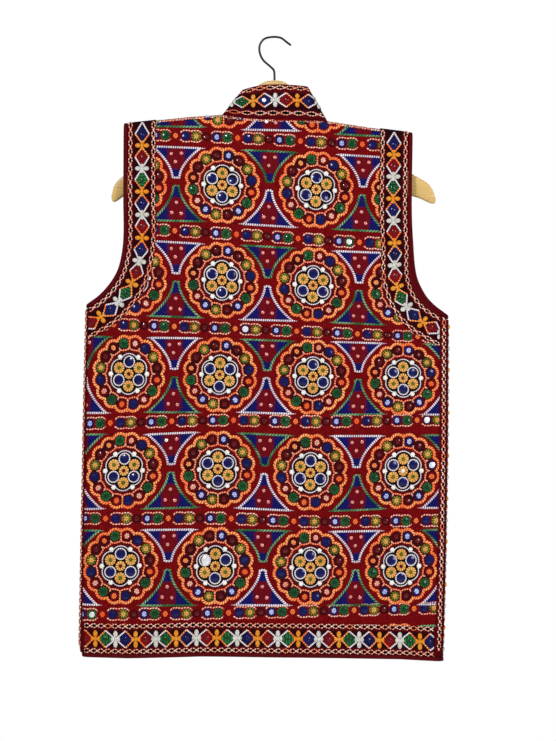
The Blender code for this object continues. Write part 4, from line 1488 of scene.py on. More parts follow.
class Lattice:
    """The pattern's repeat over a panel, slightly uneven as sewn."""

    def __init__(self, centres: np.ndarray) -> None:
        """Keep the medallions' centres, [row, column] as (x, z), with a margin all round."""
        left = 2 * centres[:, :1] - centres[:, 1:2]
        right = 2 * centres[:, -1:] - centres[:, -2:-1]
        wide = np.concatenate((left - (centres[:, 1:2] - centres[:, :1]), left, centres, right), axis=1)
        wide = np.concatenate((wide, 2 * wide[:, -1:] - wide[:, -2:-1]), axis=1)
        top = 2 * wide[:1] - wide[1:2]
        low = 2 * wide[-1:] - wide[-2:-1]
        self.table = np.concatenate((2 * top - wide[:1], top, wide, low, 2 * low - wide[-1:]), axis=0)

    def place(self, column: np.ndarray, row: np.ndarray) -> np.ndarray:
        """Planned (x, z) of places given in columns and rows.

        Args:
            column: columns from the first medallion's.
            row: rows down from the first full row.

        Returns:
            The places, one row each.
        """
        column = np.clip(column + 2.0, 1.0, self.table.shape[1] - 2.001)
        row = np.clip(row + 3.0, 1.0, self.table.shape[0] - 2.001)
        first_column, first_row = np.floor(column).astype(int), np.floor(row).astype(int)
        total = np.zeros((len(column), 2))
        for i, down in enumerate(self.weights(row - first_row)):
            for j, over in enumerate(self.weights(column - first_column)):
                total += (down * over)[:, None] * self.table[first_row + i - 1, first_column + j - 1]
        return total

    def weights(self, t: np.ndarray) -> tuple[np.ndarray, ...]:
        """Shares of the four nearest centres in a smooth curve through them."""
        return (
            (-t + 2 * t**2 - t**3) / 2,
            (2 - 5 * t**2 + 3 * t**3) / 2,
            (t + 4 * t**2 - 3 * t**3) / 2,
            (t**3 - t**2) / 2,
        )


# Medallion centres on the back, one line a row, in pixels of the picture's frame
BACK_CENTRES = (
    ((131.0, 87.0), (223.5, 89.5), (318.0, 94.0), (411.0, 99.0)),
    ((129.5, 181.0), (222.5, 184.8), (316.3, 189.7), (408.5, 194.0)),
    ((130.0, 276.5), (221.8, 280.5), (313.2, 285.4), (405.0, 289.5)),
    ((128.8, 374.0), (220.0, 374.5), (313.0, 376.0), (403.2, 377.9)),
    ((123.8, 470.8), (217.9, 468.7), (310.6, 472.8), (403.0, 471.3)),
    ((120.3, 566.3), (215.0, 566.3), (310.0, 567.0), (400.8, 566.5)),
    ((117.0, 663.0), (212.0, 663.0), (308.0, 662.0), (399.0, 662.0)),
)


# The back lies this much nearer to the camera than the plane on which its pixels were measured
NEARER = 0.9946


def back_lattice() -> Lattice:
    """The back's repeat, as the picture shows it."""
    centre = np.array(IMAGE) / 2
    pixels = centre + (np.array(BACK_CENTRES) - centre) * NEARER
    x = (pixels[:, :, 0] - HOOK_PIXEL[0]) * MM_PER_PIXEL * MM
    z = -(pixels[:, :, 1] - HOOK_PIXEL[1]) * MM_PER_PIXEL * MM
    return Lattice(np.stack((x, z), axis=2))


def front_lattice() -> Lattice:
    """The fronts' repeat, even but for a slight droop to the sides."""
    columns, rows = np.meshgrid(np.arange(4) - 1.5, np.arange(7) - 1.0)
    x = -0.0085 + columns * COLUMN
    z = -0.204 - rows * ROW_PITCH - 0.002 * columns**2
    return Lattice(np.stack((x, z), axis=2))


def spread(patch: Patch, places: Sequence[tuple[float, float]], lattice: Lattice, seed: int) -> Patch:
    """Copies of a motif at lattice places, each a little different.

    Args:
        patch: the motif about its centre.
        places: the copies' columns and rows.
        lattice: the repeat.
        seed: seed of the small differences.

    Returns:
        All copies as one patch, planned on the panel.
    """
    chance = np.random.default_rng(seed)
    copies = []
    for column, row in places:
        turned = patch.moved(*chance.normal(0.0, SEWN_SHIFT, 2), chance.normal(0.0, SEWN_TURN))
        x, z = turned.points[:, 0], turned.points[:, 1]
        copies.append(turned.placed(lattice.place(column + x / COLUMN, row - z / ROW_PITCH)))
    return joined(copies)


# Spread of the sequins' slants, and share of the sequins that are mirrors on the panels and the strips
SLANT = 0.085
PANEL_MIRRORS = 0.03
STRIP_MIRRORS = 0.04


def seat_beads(patch: Patch, seed: int, mirrors: float) -> Patch:
    """Tip each sequin at its own slant, and make a few of them mirrors, whose near-white colour is a painted
    white flash over their real reflection.
    """
    chance = np.random.default_rng(seed)
    count = int(patch.beads.max(initial=0))
    if not count:
        return patch
    points, yarns = patch.points.copy(), patch.yarns.copy()
    held = patch.beads > 0
    marks = patch.beads[held]
    totals = np.zeros((count + 1, 3))
    np.add.at(totals, marks, np.concatenate((points[held, :2], np.ones((held.sum(), 1))), axis=1))
    centres = totals[:, :2] / np.maximum(totals[:, 2:], 1)
    slants = chance.normal(0.0, SLANT, (count + 1, 2))
    offsets = points[held, :2] - centres[marks]
    points[held, 2] += (offsets * slants[marks]).sum(1)
    bright = chance.random(count + 1) < mirrors
    face_marks = patch.beads[patch.loops[patch.starts]]
    yarns[(face_marks > 0) & bright[face_marks]] = YARNS.index(Yarn.MIRROR)
    return replace(patch, points=points, yarns=yarns)


Test = Callable[[np.ndarray], np.ndarray]
Plan = Callable[[np.ndarray], tuple[np.ndarray, np.ndarray]]


def drawn_in(patch: Patch, on_cloth: np.ndarray, inside: Test) -> tuple[np.ndarray, np.ndarray]:
    """Corners of the faces that cross the cloth's edge, drawn in to that edge.

    Args:
        patch: the planned embroidery.
        on_cloth: which of its points lie on the cloth.
        inside: the test for that.

    Returns:
        The numbers of the moved points and their new (x, z).
    """
    faces = np.repeat(np.arange(len(patch.sizes)), patch.sizes)
    held = on_cloth[patch.loops]
    counts = np.bincount(faces, held, len(patch.sizes))
    crossing = ((counts > 0) & (counts < patch.sizes))[faces]
    flat = patch.points[:, :2]
    sums = np.zeros((len(patch.sizes), 2))
    inner = crossing & held
    np.add.at(sums, faces[inner], flat[patch.loops[inner]])
    outer = crossing & ~held
    aims = np.zeros((len(flat), 3))
    means = sums[faces[outer]] / counts[faces[outer], None]
    np.add.at(aims, patch.loops[outer], np.concatenate((means, np.ones((len(means), 1))), axis=1))
    moved = np.flatnonzero(aims[:, 2] > 0)
    aim = aims[moved, :2] / aims[moved, 2:]
    run = flat[moved] - aim
    low, high = np.zeros(len(moved)), np.ones(len(moved))
    for _ in range(8):
        middle = (low + high) / 2
        fits = inside(aim + run * middle[:, None])
        low, high = np.where(fits, middle, low), np.where(fits, high, middle)
    return moved, aim + run * low[:, None]


def trimmed(patch: Patch, inside: Test, shown: Test) -> Patch:
    """Keep what lies on the panel and shows, and tuck its edges under the strips.

    Args:
        patch: the planned embroidery.
        inside: which planned places lie on the cloth.
        shown: which of them no strip covers.

    Returns:
        The kept patch.
    """
    on_cloth = inside(patch.points[:, :2])
    in_view = shown(patch.points[:, :2])
    points = patch.points.copy()
    moved, places = drawn_in(patch, on_cloth, inside)
    points[moved, :2] = places
    points[moved, 2] = np.minimum(points[moved, 2], 0.3 * MM)
    points[:, 2] = np.where(in_view, points[:, 2], np.minimum(points[:, 2], 0.05 * MM))
    keep = np.logical_or.reduceat((on_cloth & in_view)[patch.loops], patch.starts)
    kept_loops = np.repeat(keep, patch.sizes)
    loops = patch.loops[kept_loops]
    used, again = np.unique(loops, return_inverse=True)
    return Patch(
        points[used],
        again.reshape(-1),
        patch.sizes[keep],
        patch.uvs[kept_loops],
        patch.yarns[keep],
        patch.beads[used],
    )


def on_face(face: Face, points: np.ndarray) -> tuple[np.ndarray, np.ndarray]:
    """Plan of a piece that is planned on its panel: the same points, and the panel's face."""
    return points, np.full(len(points), float(face.value))


class Workshop:
    """Makes objects of the scene and keeps the finishes."""

    def __init__(self) -> None:
        """Start with no finish made."""
        self.finishes: dict[str, bpy.types.Material] = {}
        self.total = 0

    def finish(self, kind: Thread | TwoToneFill | Foil | Cloth | Wood | Steel) -> bpy.types.Material:
        """The material of a finish, made once."""
        if kind.name not in self.finishes:
            self.finishes[kind.name] = kind.material()
        return self.finishes[kind.name]

    def add(self, item: bpy.types.Object, slot: str, replaced: Sequence[str] = ()) -> bpy.types.Object:
        """Put a piece in the scene on its body, and report it.

        Args:
            item: the new object.
            slot: not used.
            replaced: CAD nodes that it stands for.

        Returns:
            The same object.
        """
        if not item.users_collection:
            bpy.context.scene.collection.objects.link(item)
        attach(item, BODY)
        if replaced:
            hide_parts(*replaced)
        faces = sum(len(face.vertices) - 2 for face in item.data.polygons) if item.type == "MESH" else 0
        self.total += faces
        LOG.info("%s: %d triangles", item.name, faces)
        return item

    def embroider(
        self,
        name: str,
        patch: Patch,
        plan: Plan,
        base: float,
        slot: str,
        joined_cloth: bool = False,
    ) -> bpy.types.Object:
        """slot: not used, only passed on.
            slot: the record's material slot.
            joined_cloth: whether that cloth runs on through a fold.

        Returns:
            The new piece.
        """
        planned, face = plan(patch.points[:, :2])
        outs = base + patch.points[:, 2]
        cuts = [slice(k, k + BATCH) for k in range(0, len(planned), BATCH)]
        spots = np.concatenate([FORM.lay(planned[cut], outs[cut], face[cut], joined_cloth) for cut in cuts])
        lifted = FORM.lay(planned[:FEW], outs[:FEW] + MM, face[:FEW], joined_cloth)
        loops = self.outwards(patch, spots, lifted - spots[:FEW])
        mesh = bpy.data.meshes.new(name)
        mesh.vertices.add(len(spots))
        mesh.vertices.foreach_set("co", spots.ravel())
        mesh.loops.add(len(loops))
        mesh.loops.foreach_set("vertex_index", loops[:, 0].astype(np.int32))
        mesh.polygons.add(len(patch.sizes))
        mesh.polygons.foreach_set("loop_start", patch.starts.astype(np.int32))
        layer = mesh.uv_layers.new(name="thread")
        layer.uv.foreach_set("vector", patch.uvs[loops[:, 1]].ravel())
        used, again = np.unique(patch.yarns, return_inverse=True)
        for index in used:
            mesh.materials.append(self.finish(YARNS[index].value))
        mesh.polygons.foreach_set("material_index", again.reshape(-1).astype(np.int32))
        mesh.update(calc_edges=True)
        mesh.validate()
        mesh.shade_smooth()
        return self.add(bpy.data.objects.new(name, mesh), slot)

    def outwards(self, patch: Patch, spots: np.ndarray, lifts: np.ndarray) -> np.ndarray:
        """Order of the corners in which all faces look out, as (vertex, uv row) pairs."""
        starts = patch.starts
        corners = np.stack([patch.loops[starts + k] for k in range(3)], axis=1)
        near = (corners < len(lifts)).all(axis=1)
        a, b, c = (spots[corners[near, k]] for k in range(3))
        looks = (np.cross(b - a, c - a) * lifts[corners[near, 0]]).sum(1)
        order = np.arange(len(patch.loops))
        if looks.sum() < 0:
            ends = starts + patch.sizes - 1
            order = np.repeat(starts + ends, patch.sizes) - order
        return np.stack((patch.loops[order], order), axis=1)

    def shell(
        self,
        name: str,
        plan: np.ndarray,
        face: np.ndarray | float,
        out: np.ndarray | float,
        thickness: float,
        cloth: Cloth,
        uvs: np.ndarray,
        joined_cloth: bool = False,
    ) -> bpy.types.Object:
        """A thin shell of cloth on a grid of planned points.

        Args:
            name: the piece's name.
            plan: (rows, columns, 2) planned points.
            face: -1 or +1, or one for each point.
            out: height of its outer face, or one for each column.
            thickness: of the cloth.
            cloth: its finish.
            uvs: (rows, columns, 2) in metres.
            joined_cloth: whether it runs on through a fold.

        Returns:
            The new object, not yet in the frame.
        """
        rows, columns = plan.shape[:2]
        faces = np.broadcast_to(np.asarray(face, dtype=float), (rows, columns)).reshape(-1)
        flat = plan.reshape(-1, 2)
        out = np.broadcast_to(out, (rows, columns)).reshape(-1)
        spots = FORM.lay(flat, out, faces, joined_cloth)
        lifted = FORM.lay(flat, out + MM, faces, joined_cloth) - spots
        mesh = self.grid_mesh(name, spots.reshape(rows, columns, 3), uvs, lifted.reshape(rows, columns, 3))
        return self.walled(mesh, cloth, thickness)

    def walled(self, mesh: bpy.types.Mesh, cloth: Cloth, thickness: float) -> bpy.types.Object:
        """An object of a cloth's outer face, thickened inwards."""
        mesh.materials.append(self.finish(cloth))
        item = bpy.data.objects.new(mesh.name, mesh)
        wall = item.modifiers.new("wall", "SOLIDIFY")
        wall.thickness = thickness
        wall.offset = -1.0
        return item

    def grid_mesh(self, name: str, spots: np.ndarray, uvs: np.ndarray, lifts: np.ndarray) -> bpy.types.Mesh:
        """A smooth mesh on a grid of points, with its faces looking along the lifts."""
        bm, places = grid_net(spots, uvs)
        bm.normal_update()
        looks = sum(face.normal.dot(Vector(lifts[places[face.verts[0]]])) for face in bm.faces)
        if looks < 0:
            bmesh.ops.reverse_faces(bm, faces=bm.faces[:])
        bmesh.ops.remove_doubles(bm, verts=bm.verts[:], dist=WELD)
        mesh = bpy.data.meshes.new(name)
        bm.to_mesh(mesh)
        bm.free()
        mesh.shade_smooth()
        return mesh


GROUND = Cloth("stitched_crimson_cotton", "#760A0E", "#5C060A", "#340305", 2.9, 3.1)
STRIP_GROUND = Cloth(
    "stitched_dark_border_cotton", "#5C0A12", "#430710", "#1C0206", 2.9, 2.9, dark_middle="#20060A"
)
LEFT_BINDING = Cloth("maroon_twill_binding", "#560C11", "#4A0A0F", "#300609", 1.4, 1.4, 0.15, 0.8)
RIGHT_BINDING = Cloth("red_maroon_twill_binding", "#560A10", "#4A080E", "#320509", 1.4, 1.4, 0.15, 0.8)


@dataclass
class Panels:
    """The back and the two fronts, with their all-over embroidery."""

    shop: Workshop
    turn_steps: int = 7

    def turn_offsets(self) -> np.ndarray:
        """Distances from a fold at which the turn's facets meet."""
        angles = np.linspace(0.0, math.pi / 2, self.turn_steps)
        return TURN_RADIUS * (1.0 - np.cos(angles))

    def outer_edge(self, side: Side) -> np.ndarray:
        """A panel's outer edge, up the side seam and round the armhole to the shoulder."""
        inset = BINDING_WIDTH + SEAM_GAP
        curve = self.clipped_curve(side, inset)
        low_x = float(FORM.side_x(HEM_LEVEL, side))
        low_z = float(FORM.hem_z(low_x, inset))
        heights = np.linspace(low_z, curve[0][1], 62)[:-1]
        seam = np.stack((FORM.side_x(heights, side), heights), axis=1)
        along = lengths_along(curve)
        ends = along[-1] - self.turn_offsets()[::-1]
        stops = np.concatenate((np.linspace(0.0, ends[0], 56)[:-1], ends))
        return np.concatenate((seam, at_lengths(curve, stops)))

    def clipped_curve(self, side: Side, inset: float, clear: float = 0.0) -> np.ndarray:
        """An armhole's edge moved in, cut at the side seam or its strip and at the shoulder."""
        curve = even(FORM.armhole_curve(side, inset), CURVE_POINTS)
        on = (FORM.seam_distance(curve, side) >= clear) & (curve[:, 1] <= FORM.shoulder_z(curve[:, 0], side))
        return curve[np.argmax(on) : len(on) - np.argmax(on[::-1])]

    def patch_plan(
        self, left: np.ndarray, right: np.ndarray, bottom: np.ndarray, top: np.ndarray, across: np.ndarray
    ) -> np.ndarray:
        """Plan of a four-sided panel from its edges.

        Args:
            left: its left or outer edge from below.
            right: its other edge from below.
            bottom: its lower edge.
            top: its upper edge.
            across: share of the width at each column.

        Returns:
            (rows, columns, 2) planned points.
        """
        rises = [(edge[:, 1] - edge[0, 1]) / (edge[-1, 1] - edge[0, 1]) for edge in (left, right)]
        v = ((rises[0] + rises[1]) / 2)[:, None, None]
        u = across[None, :, None]
        sides = (1 - u) * left[:, None] + u * right[:, None]
        ends = (1 - v) * bottom[None] + v * top[None]
        corners = (1 - v) * ((1 - u) * bottom[0] + u * bottom[-1]) + v * ((1 - u) * top[0] + u * top[-1])
        return sides + ends - corners

    def top_z(self, x: np.ndarray) -> np.ndarray:
        """Height of the back's upper edge, over both shoulders and the neck seam."""
        return level_at(x, sorted({*SHOULDERS[Side.LEFT], *NECK_SEAM, *SHOULDERS[Side.RIGHT]}))

    def back_plan(self) -> np.ndarray:
        """Plan of the back."""
        left, right = self.outer_edge(Side.LEFT), self.outer_edge(Side.RIGHT)
        wide = right[0][0] - left[0][0]
        turns = self.turn_offsets() / wide
        across = np.concatenate((turns, np.linspace(turns[-1], 1 - turns[-1], 84)[1:-1], 1 - turns[::-1]))
        low_x = left[0][0] + across * wide
        bottom = np.stack((low_x, FORM.hem_z(low_x, BINDING_WIDTH + SEAM_GAP)), axis=1)
        high_x = left[-1][0] + across * (right[-1][0] - left[-1][0])
        top = np.stack((high_x, self.top_z(high_x)), axis=1)
        return self.patch_plan(left, right, bottom, top, across)

    def front_plan(self, side: Side) -> np.ndarray:
        """Plan of a front, from its outer edge to the centre."""
        outer = self.outer_edge(side)
        angles = np.linspace(0.0, math.pi / 2, 22)
        neck = FORM.front_neck(side, angles)
        turns = self.turn_offsets()
        shoulder_x = outer[-1][0] + side.value * turns
        shoulder_x = np.concatenate((shoulder_x, np.linspace(shoulder_x[-1], neck[0][0], 14)[1:-1]))
        shoulder = np.stack((shoulder_x, FORM.shoulder_z(shoulder_x, side)), axis=1)
        top = np.concatenate((shoulder, neck))
        rise = BINDING_WIDTH + SEAM_GAP
        low_x = float(FORM.front_line_x(FORM.hem_z(0.0, rise), side))
        wide = abs(low_x - outer[0][0])
        across = lengths_along(top) / lengths_along(top)[-1]
        across[: len(turns)] = turns / wide
        xs = outer[0][0] + across * (low_x - outer[0][0])
        bottom = np.stack((xs, FORM.hem_z(xs, rise)), axis=1)
        share = (outer[:, 1] - outer[0, 1]) / (outer[-1, 1] - outer[0, 1])
        heights = bottom[-1][1] + share * (FRONT_NECK - bottom[-1][1])
        middle = np.stack((FORM.front_line_x(heights, side), heights), axis=1)
        return self.patch_plan(outer, middle, bottom, top, across)

    def hem_ends(self, side: Side | None, level: float, insets: tuple[float, float]) -> tuple[float, float]:
        """Left and right end at the hem of the back, which has no side, or of a front."""
        low = float(FORM.side_x(level, Side.LEFT)) + insets[0]
        high = float(FORM.side_x(level, Side.RIGHT)) - insets[1]
        if side is Side.LEFT:
            high = float(FORM.front_line_x(HEM_LEVEL, side))
        if side is Side.RIGHT:
            low = float(FORM.front_line_x(HEM_LEVEL, side))
        return low, high

    def band_reach(self, side: Side, face: Face) -> float:
        """How far the side strip reaches in from the side seam on one face."""
        on_back = SIDE_BAND_ON_BACK[side]
        return on_back if face is Face.BACK else SIDE_BAND_WIDTH - on_back

    def on_panel(self, face: Face, side: Side | None) -> Test:
        """Test for the places that lie on a panel."""

        def inside(points: np.ndarray) -> np.ndarray:
            """Clear of every edge of the panel."""
            on = np.ones(len(points), dtype=bool)
            x, z = points[:, 0], points[:, 1]
            for which in sides_of(side):
                on &= FORM.seam_distance(points, which) > 0.4 * MM
                on &= FORM.armhole_distance(points, which) > BINDING_WIDTH
                on &= (z < FORM.shoulder_z(x, which) - 0.5 * MM) | (which.value * x > 0.0)
            on &= z > FORM.hem_z(x, BINDING_WIDTH)
            if face is Face.BACK:
                on &= z < FORM.neck_z(x) - 1.5 * MM
            else:
                edge = FORM.front_line_x(z, side)
                on &= side.value * (edge - x) > 0.4 * MM
                corner = np.array(NECK_SEAM[0] if side is Side.LEFT else NECK_SEAM[-1])
                end_x = float(FORM.front_line_x(FRONT_NECK, side))
                over = ((x - end_x) / (corner[0] - end_x)) ** 2 + (
                    np.maximum(corner[1] - z, 0.0) / (corner[1] - FRONT_NECK)
                ) ** 2
                on &= (over > 1.03) | (z < FRONT_NECK)
            return on

        return inside

    def in_view(self, face: Face, side: Side | None) -> Test:
        """Test for the places that no border strip covers."""

        def shown(points: np.ndarray) -> np.ndarray:
            """Clear of the strips at the hem, the sides and the armholes."""
            seen = points[:, 1] > FORM.hem_z(points[:, 0], HEM_BAND_HEIGHT)
            for which in sides_of(side):
                seen &= FORM.seam_distance(points, which) > self.band_reach(which, face)
                depth = FORM.armhole_distance(points, which, shifted=True)
                seen &= depth > BINDING_WIDTH + SEAM_GAP + BAND_WIDTH
            return seen

        return shown

    def motifs(self, lattice: Lattice, seed: int) -> dict[str, Patch]:
        """The all-over pattern, planned: medallions, triangles and dot stripes."""
        rows = range(-1, 6)
        columns = range(-1, 5)
        round_motifs = []
        for gold_up in (True, False):
            places = [(c, r) for r in rows for c in columns if (c % 2 == 1) == gold_up]
            motif = Medallion(gold_up).patch()
            motif = motif.placed(motif.points[:, :2] * np.array((1.0, TALLER)))
            round_motifs.append(spread(motif, places, lattice, seed + gold_up))
        triangles = []
        for up in (True, False):
            for parity in (0, 1):
                white = (parity == 0) == up
                outline = Yarn.WHITE if white else Yarn.LEAF
                places = [(c + 0.5, r) for r in rows for c in range(-1, 4) if c % 2 == parity]
                motif = Triangle(up, outline).patch()
                triangles.append(spread(motif, places, lattice, seed + 10 + parity + 2 * up))
        stripe = DotStripe().patch()
        stripes = spread(stripe, [(0.0, r + 0.5) for r in rows], lattice, seed + 20)
        return {"medallions": joined(round_motifs), "triangles": joined(triangles), "dot_stripes": stripes}

    def seam_rows(self, face: Face, side: Side | None, seed: int) -> list[Patch]:
        """Fine chain rows beside a panel's neck, shoulder and centre edges, planned on the panel."""
        lines = []
        for which in sides_of(side):
            lines.append((np.array(SHOULDERS[which][1:]) - np.array((0.0, 2.6 * MM)), 9.0 * MM, 3.0 * MM))
        if face is Face.BACK:
            lines.append((np.array(NECK_SEAM) - np.array((0.0, 2.8 * MM)), 9.6 * MM, 3.6 * MM))
        else:
            neck = FORM.front_neck(side, np.linspace(0.0, math.pi / 2, 30))
            away = np.array((side.value * 1.6 * MM, -3.2 * MM))
            lines.append((neck + away, 9.6 * MM, 3.6 * MM))
            heights = np.linspace(-0.8, FRONT_NECK - 0.004, 30)
            edge = np.stack((FORM.front_line_x(heights, side) - side.value * 4.2 * MM, heights), axis=1)
            lines.append((edge, 9.6 * MM, 5.2 * MM))
        rows = []
        for k, (line, pitch, width) in enumerate(lines):
            fine = even(line, 200)
            normal = left_of(fine) * width / 2
            strip = Strip(fine - normal, fine + normal, np.full(200, float(face.value)), width)
            row = chain_row(strip.length, pitch, width, seed + k)
            rows.append(row.placed(strip.plan(row.points[:, :2])[0]))
        return rows

    def build(self) -> None:
        """Make the three panels and their embroidery."""
        sets = [(Face.BACK, None, "back_panel", back_lattice(), 100)]
        for side in Side:
            sets.append((Face.FRONT, side, f"front_{side.word}", front_lattice(), 200 + side.value))
        for face, side, node, lattice, seed in sets:
            plan = self.back_plan() if side is None else self.front_plan(side)
            cloth = self.shop.shell(f"{node}_cloth", plan, face.value, 0.0, WALL, GROUND, plan)
            self.shop.add(cloth, "ground_cloth", [node])
            inside, shown = self.on_panel(face, side), self.in_view(face, side)
            patches = {**self.motifs(lattice, seed), "seam_rows": joined(self.seam_rows(face, side, seed))}
            for word, patch in patches.items():
                kept = trimmed(seat_beads(patch, seed + 40, PANEL_MIRRORS), inside, shown)
                plan_face = functools.partial(on_face, face)
                self.shop.embroider(f"{node}_{word}", kept, plan_face, 0.0, "ground_cloth")


@dataclass
class Strip:
    """A border strip planned between two lines, with its chain rows and diamonds."""

    near: np.ndarray
    far: np.ndarray
    faces: np.ndarray
    width: float

    def __post_init__(self) -> None:
        """Measure the strip along its middle."""
        self.along = lengths_along((self.near + self.far) / 2)

    @property
    def length(self) -> float:
        """Length along the strip's middle."""
        return float(self.along[-1])

    def plan(self, places: np.ndarray) -> tuple[np.ndarray, np.ndarray]:
        """Planned points and faces at places (along, across), across from the strip's middle.

        Args:
            places: lengths along and across, one row each.

        Returns:
            The planned (x, z) and -1 or +1 for each.
        """
        s, q = places[:, 0], places[:, 1] / self.width + 0.5
        near = np.stack([np.interp(s, self.along, self.near[:, k]) for k in (0, 1)], axis=1)
        far = np.stack([np.interp(s, self.along, self.far[:, k]) for k in (0, 1)], axis=1)
        index = np.clip(np.searchsorted(self.along, s) - 1, 0, len(self.faces) - 1)
        return near + (far - near) * q[:, None], self.faces[index]


@dataclass
class Borders:
    """The dark border strips round the armholes, down the sides, along the hem and the collar."""

    shop: Workshop
    panels: Panels

    def sew(
        self,
        name: str,
        patch: Patch,
        plan: Plan,
        inside: Test,
        seed: int,
        base: float = SEAM_GAP + BORDER,
        joined_cloth: bool = False,
    ) -> bpy.types.Object:
        """Sew a planned patch on a strip and keep what lies on it."""
        kept = trimmed(seat_beads(patch, seed, STRIP_MIRRORS), inside, everywhere)
        return self.shop.embroider(name, kept, plan, base, "border_cloth", joined_cloth)

    def uv_grid(self, along: np.ndarray, across: np.ndarray) -> np.ndarray:
        """UV in metres for a grid of lengths along and across a strip."""
        return np.stack(np.broadcast_arrays(along, across), axis=-1)

    def armhole(self, side: Side, face: Face) -> None:
        """The strip round one armhole on one face."""
        low, high = BINDING_WIDTH + 3 * SEAM_GAP, BINDING_WIDTH + SEAM_GAP + BAND_WIDTH
        clear = self.panels.band_reach(side, face) + SEAM_GAP
        near = FORM.armhole_curve(side, low, shifted=True)[::-1]
        far = FORM.armhole_curve(side, high, shifted=True)[::-1]
        strip = Strip(near, far, np.full(len(near), float(face.value)), high - low)
        across = np.linspace(-0.5, 0.5, 13) * strip.width
        spots, lengths = [], []
        for q in across:
            s = np.linspace(0.0, strip.length, 1500)
            points = strip.plan(np.stack((s, np.full(1500, q)), axis=1))[0]
            on = (FORM.seam_distance(points, side) >= clear) & (
                points[:, 1] <= FORM.shoulder_z(points[:, 0], side)
            )
            first, last = s[np.argmax(on)], s[len(on) - 1 - np.argmax(on[::-1])]
            turn = self.panels.turn_offsets()
            stops = np.concatenate((first + turn, np.linspace(first + turn[-1], last, 58)[1:]))
            spots.append(strip.plan(np.stack((stops, np.full(len(stops), q)), axis=1))[0])
            lengths.append(stops)
        grid = np.stack(spots, axis=1)
        start = float(np.mean([line[0] for line in lengths]))
        uvs = self.uv_grid(np.stack(lengths, axis=1), across[None, :])
        node = f"armhole_band_{face.word}_{side.word}"
        cloth = self.shop.shell(
            f"{node}_cloth", grid, face.value, SEAM_GAP + BORDER, BORDER, STRIP_GROUND, uvs
        )
        self.shop.add(cloth, "border_cloth", [node])
        row = diamond_row("BRGBRBRGBRG", ARMHOLE_ROWS[side]).moved(start + ARMHOLE_STARTS[side])
        chains = chain_rows(strip.length, ARMHOLE_CHAINS, 300, start + 1.0 * MM)

        def inside(places: np.ndarray) -> np.ndarray:
            """On the strip, clear of the side strip and the shoulder."""
            points = strip.plan(places)[0]
            return (
                (FORM.seam_distance(points, side) > clear + 0.3 * MM)
                & (points[:, 1] < FORM.shoulder_z(points[:, 0], side) - 0.3 * MM)
                & (places[:, 0] > 0.0)
                & (places[:, 0] < strip.length)
            )

        sewn = self.sew(f"{node}_stitches", joined([row, *chains]), strip.plan, inside, 310)
        if side is Side.RIGHT:
            self.turned_edge(side, face, clear)

    def turned_edge(self, side: Side, face: Face, clear: float) -> None:
        """The wider part of an armhole's binding, laid over the strip's outer edge."""
        curve = even(FORM.armhole_curve(side, 0.0), CURVE_POINTS)
        inward = -left_of(curve) * side.value
        wide = FORM.strip_shift(side, curve[:, 1])
        far = curve + inward * (BINDING_WIDTH + 0.9 * MM + wide)[:, None]
        on = (wide > 0.1 * MM) & (curve[:, 1] > TURNED_EDGE_LOW) & (FORM.seam_distance(far, side) > clear)
        count = int(on.sum())
        picks = np.flatnonzero(on)[np.linspace(0, count - 1, 44).astype(int)]
        shares = np.linspace(0.0, 1.0, 5)
        near = (curve + inward * 4.2 * MM)[picks]
        grid = near[:, None] + (far[picks] - near)[:, None] * shares[None, :, None]
        out = np.interp(shares, (0.0, 0.5, 1.0), (1.0 * MM, 2.0 * MM, 2.1 * MM))[None]
        along = lengths_along(near)
        uvs = self.uv_grid(along[:, None], shares[None] * 8.0 * MM)
        name = f"armhole_binding_{side.word}_{face.word}_turn"
        item = self.shop.shell(name, grid, face.value, out, 0.5 * MM, RIGHT_BINDING, uvs)
        self.shop.add(item, "binding_cloth")

    def side_strip(self, side: Side) -> None:
        """The strip that covers a side seam, round from the back to the front."""
        edge = self.panels.clipped_curve(side, BINDING_WIDTH + 2 * SEAM_GAP)
        half = len(edge) // 2
        gaps = FORM.seam_distance(edge, side)
        back = self.panels.band_reach(side, Face.BACK)
        front = self.panels.band_reach(side, Face.FRONT)
        turns = self.panels.turn_offsets()
        on_back = [t for t in turns if t < back - 0.5 * MM] + [back]
        on_front = [t for t in turns if t < front - 0.5 * MM] + list(np.linspace(TURN_RADIUS, front, 9)[1:])
        offsets = np.array([-t for t in on_back[::-1]] + on_front[1:])
        grid = np.zeros((64, len(offsets), 2))
        for k, offset in enumerate(offsets):
            reach = abs(offset)
            high = float(np.interp(reach, gaps[:half], edge[:half, 1]))
            low_x = float(FORM.side_x(STRIP_LEVEL, side)) + side.value * reach
            low = float(FORM.hem_z(low_x, BINDING_WIDTH + SEAM_GAP))
            heights = np.linspace(high, low, 64)
            grid[:, k, 0] = FORM.side_x(heights, side) + side.value * reach
            grid[:, k, 1] = heights
        faces = np.broadcast_to(np.where(offsets <= 0, -1.0, 1.0), (64, len(offsets)))
        middle = float(cloth_length(front) - cloth_length(back)) / 2
        half_width = float(cloth_length(front) + cloth_length(back)) / 2
        lengths = np.sign(offsets) * cloth_length(np.abs(offsets))
        top = float(grid[:, :, 1].max())
        low = float(grid[:, :, 1].min())
        uvs = np.stack((top - grid[:, :, 1], np.broadcast_to(lengths - middle, grid.shape[:2])), axis=2)
        node = f"side_band_{side.word}"
        cloth = self.shop.shell(
            f"{node}_cloth", grid, faces, SEAM_GAP + BORDER, BORDER, STRIP_GROUND, uvs, True
        )
        self.shop.add(cloth, "border_cloth", [node])

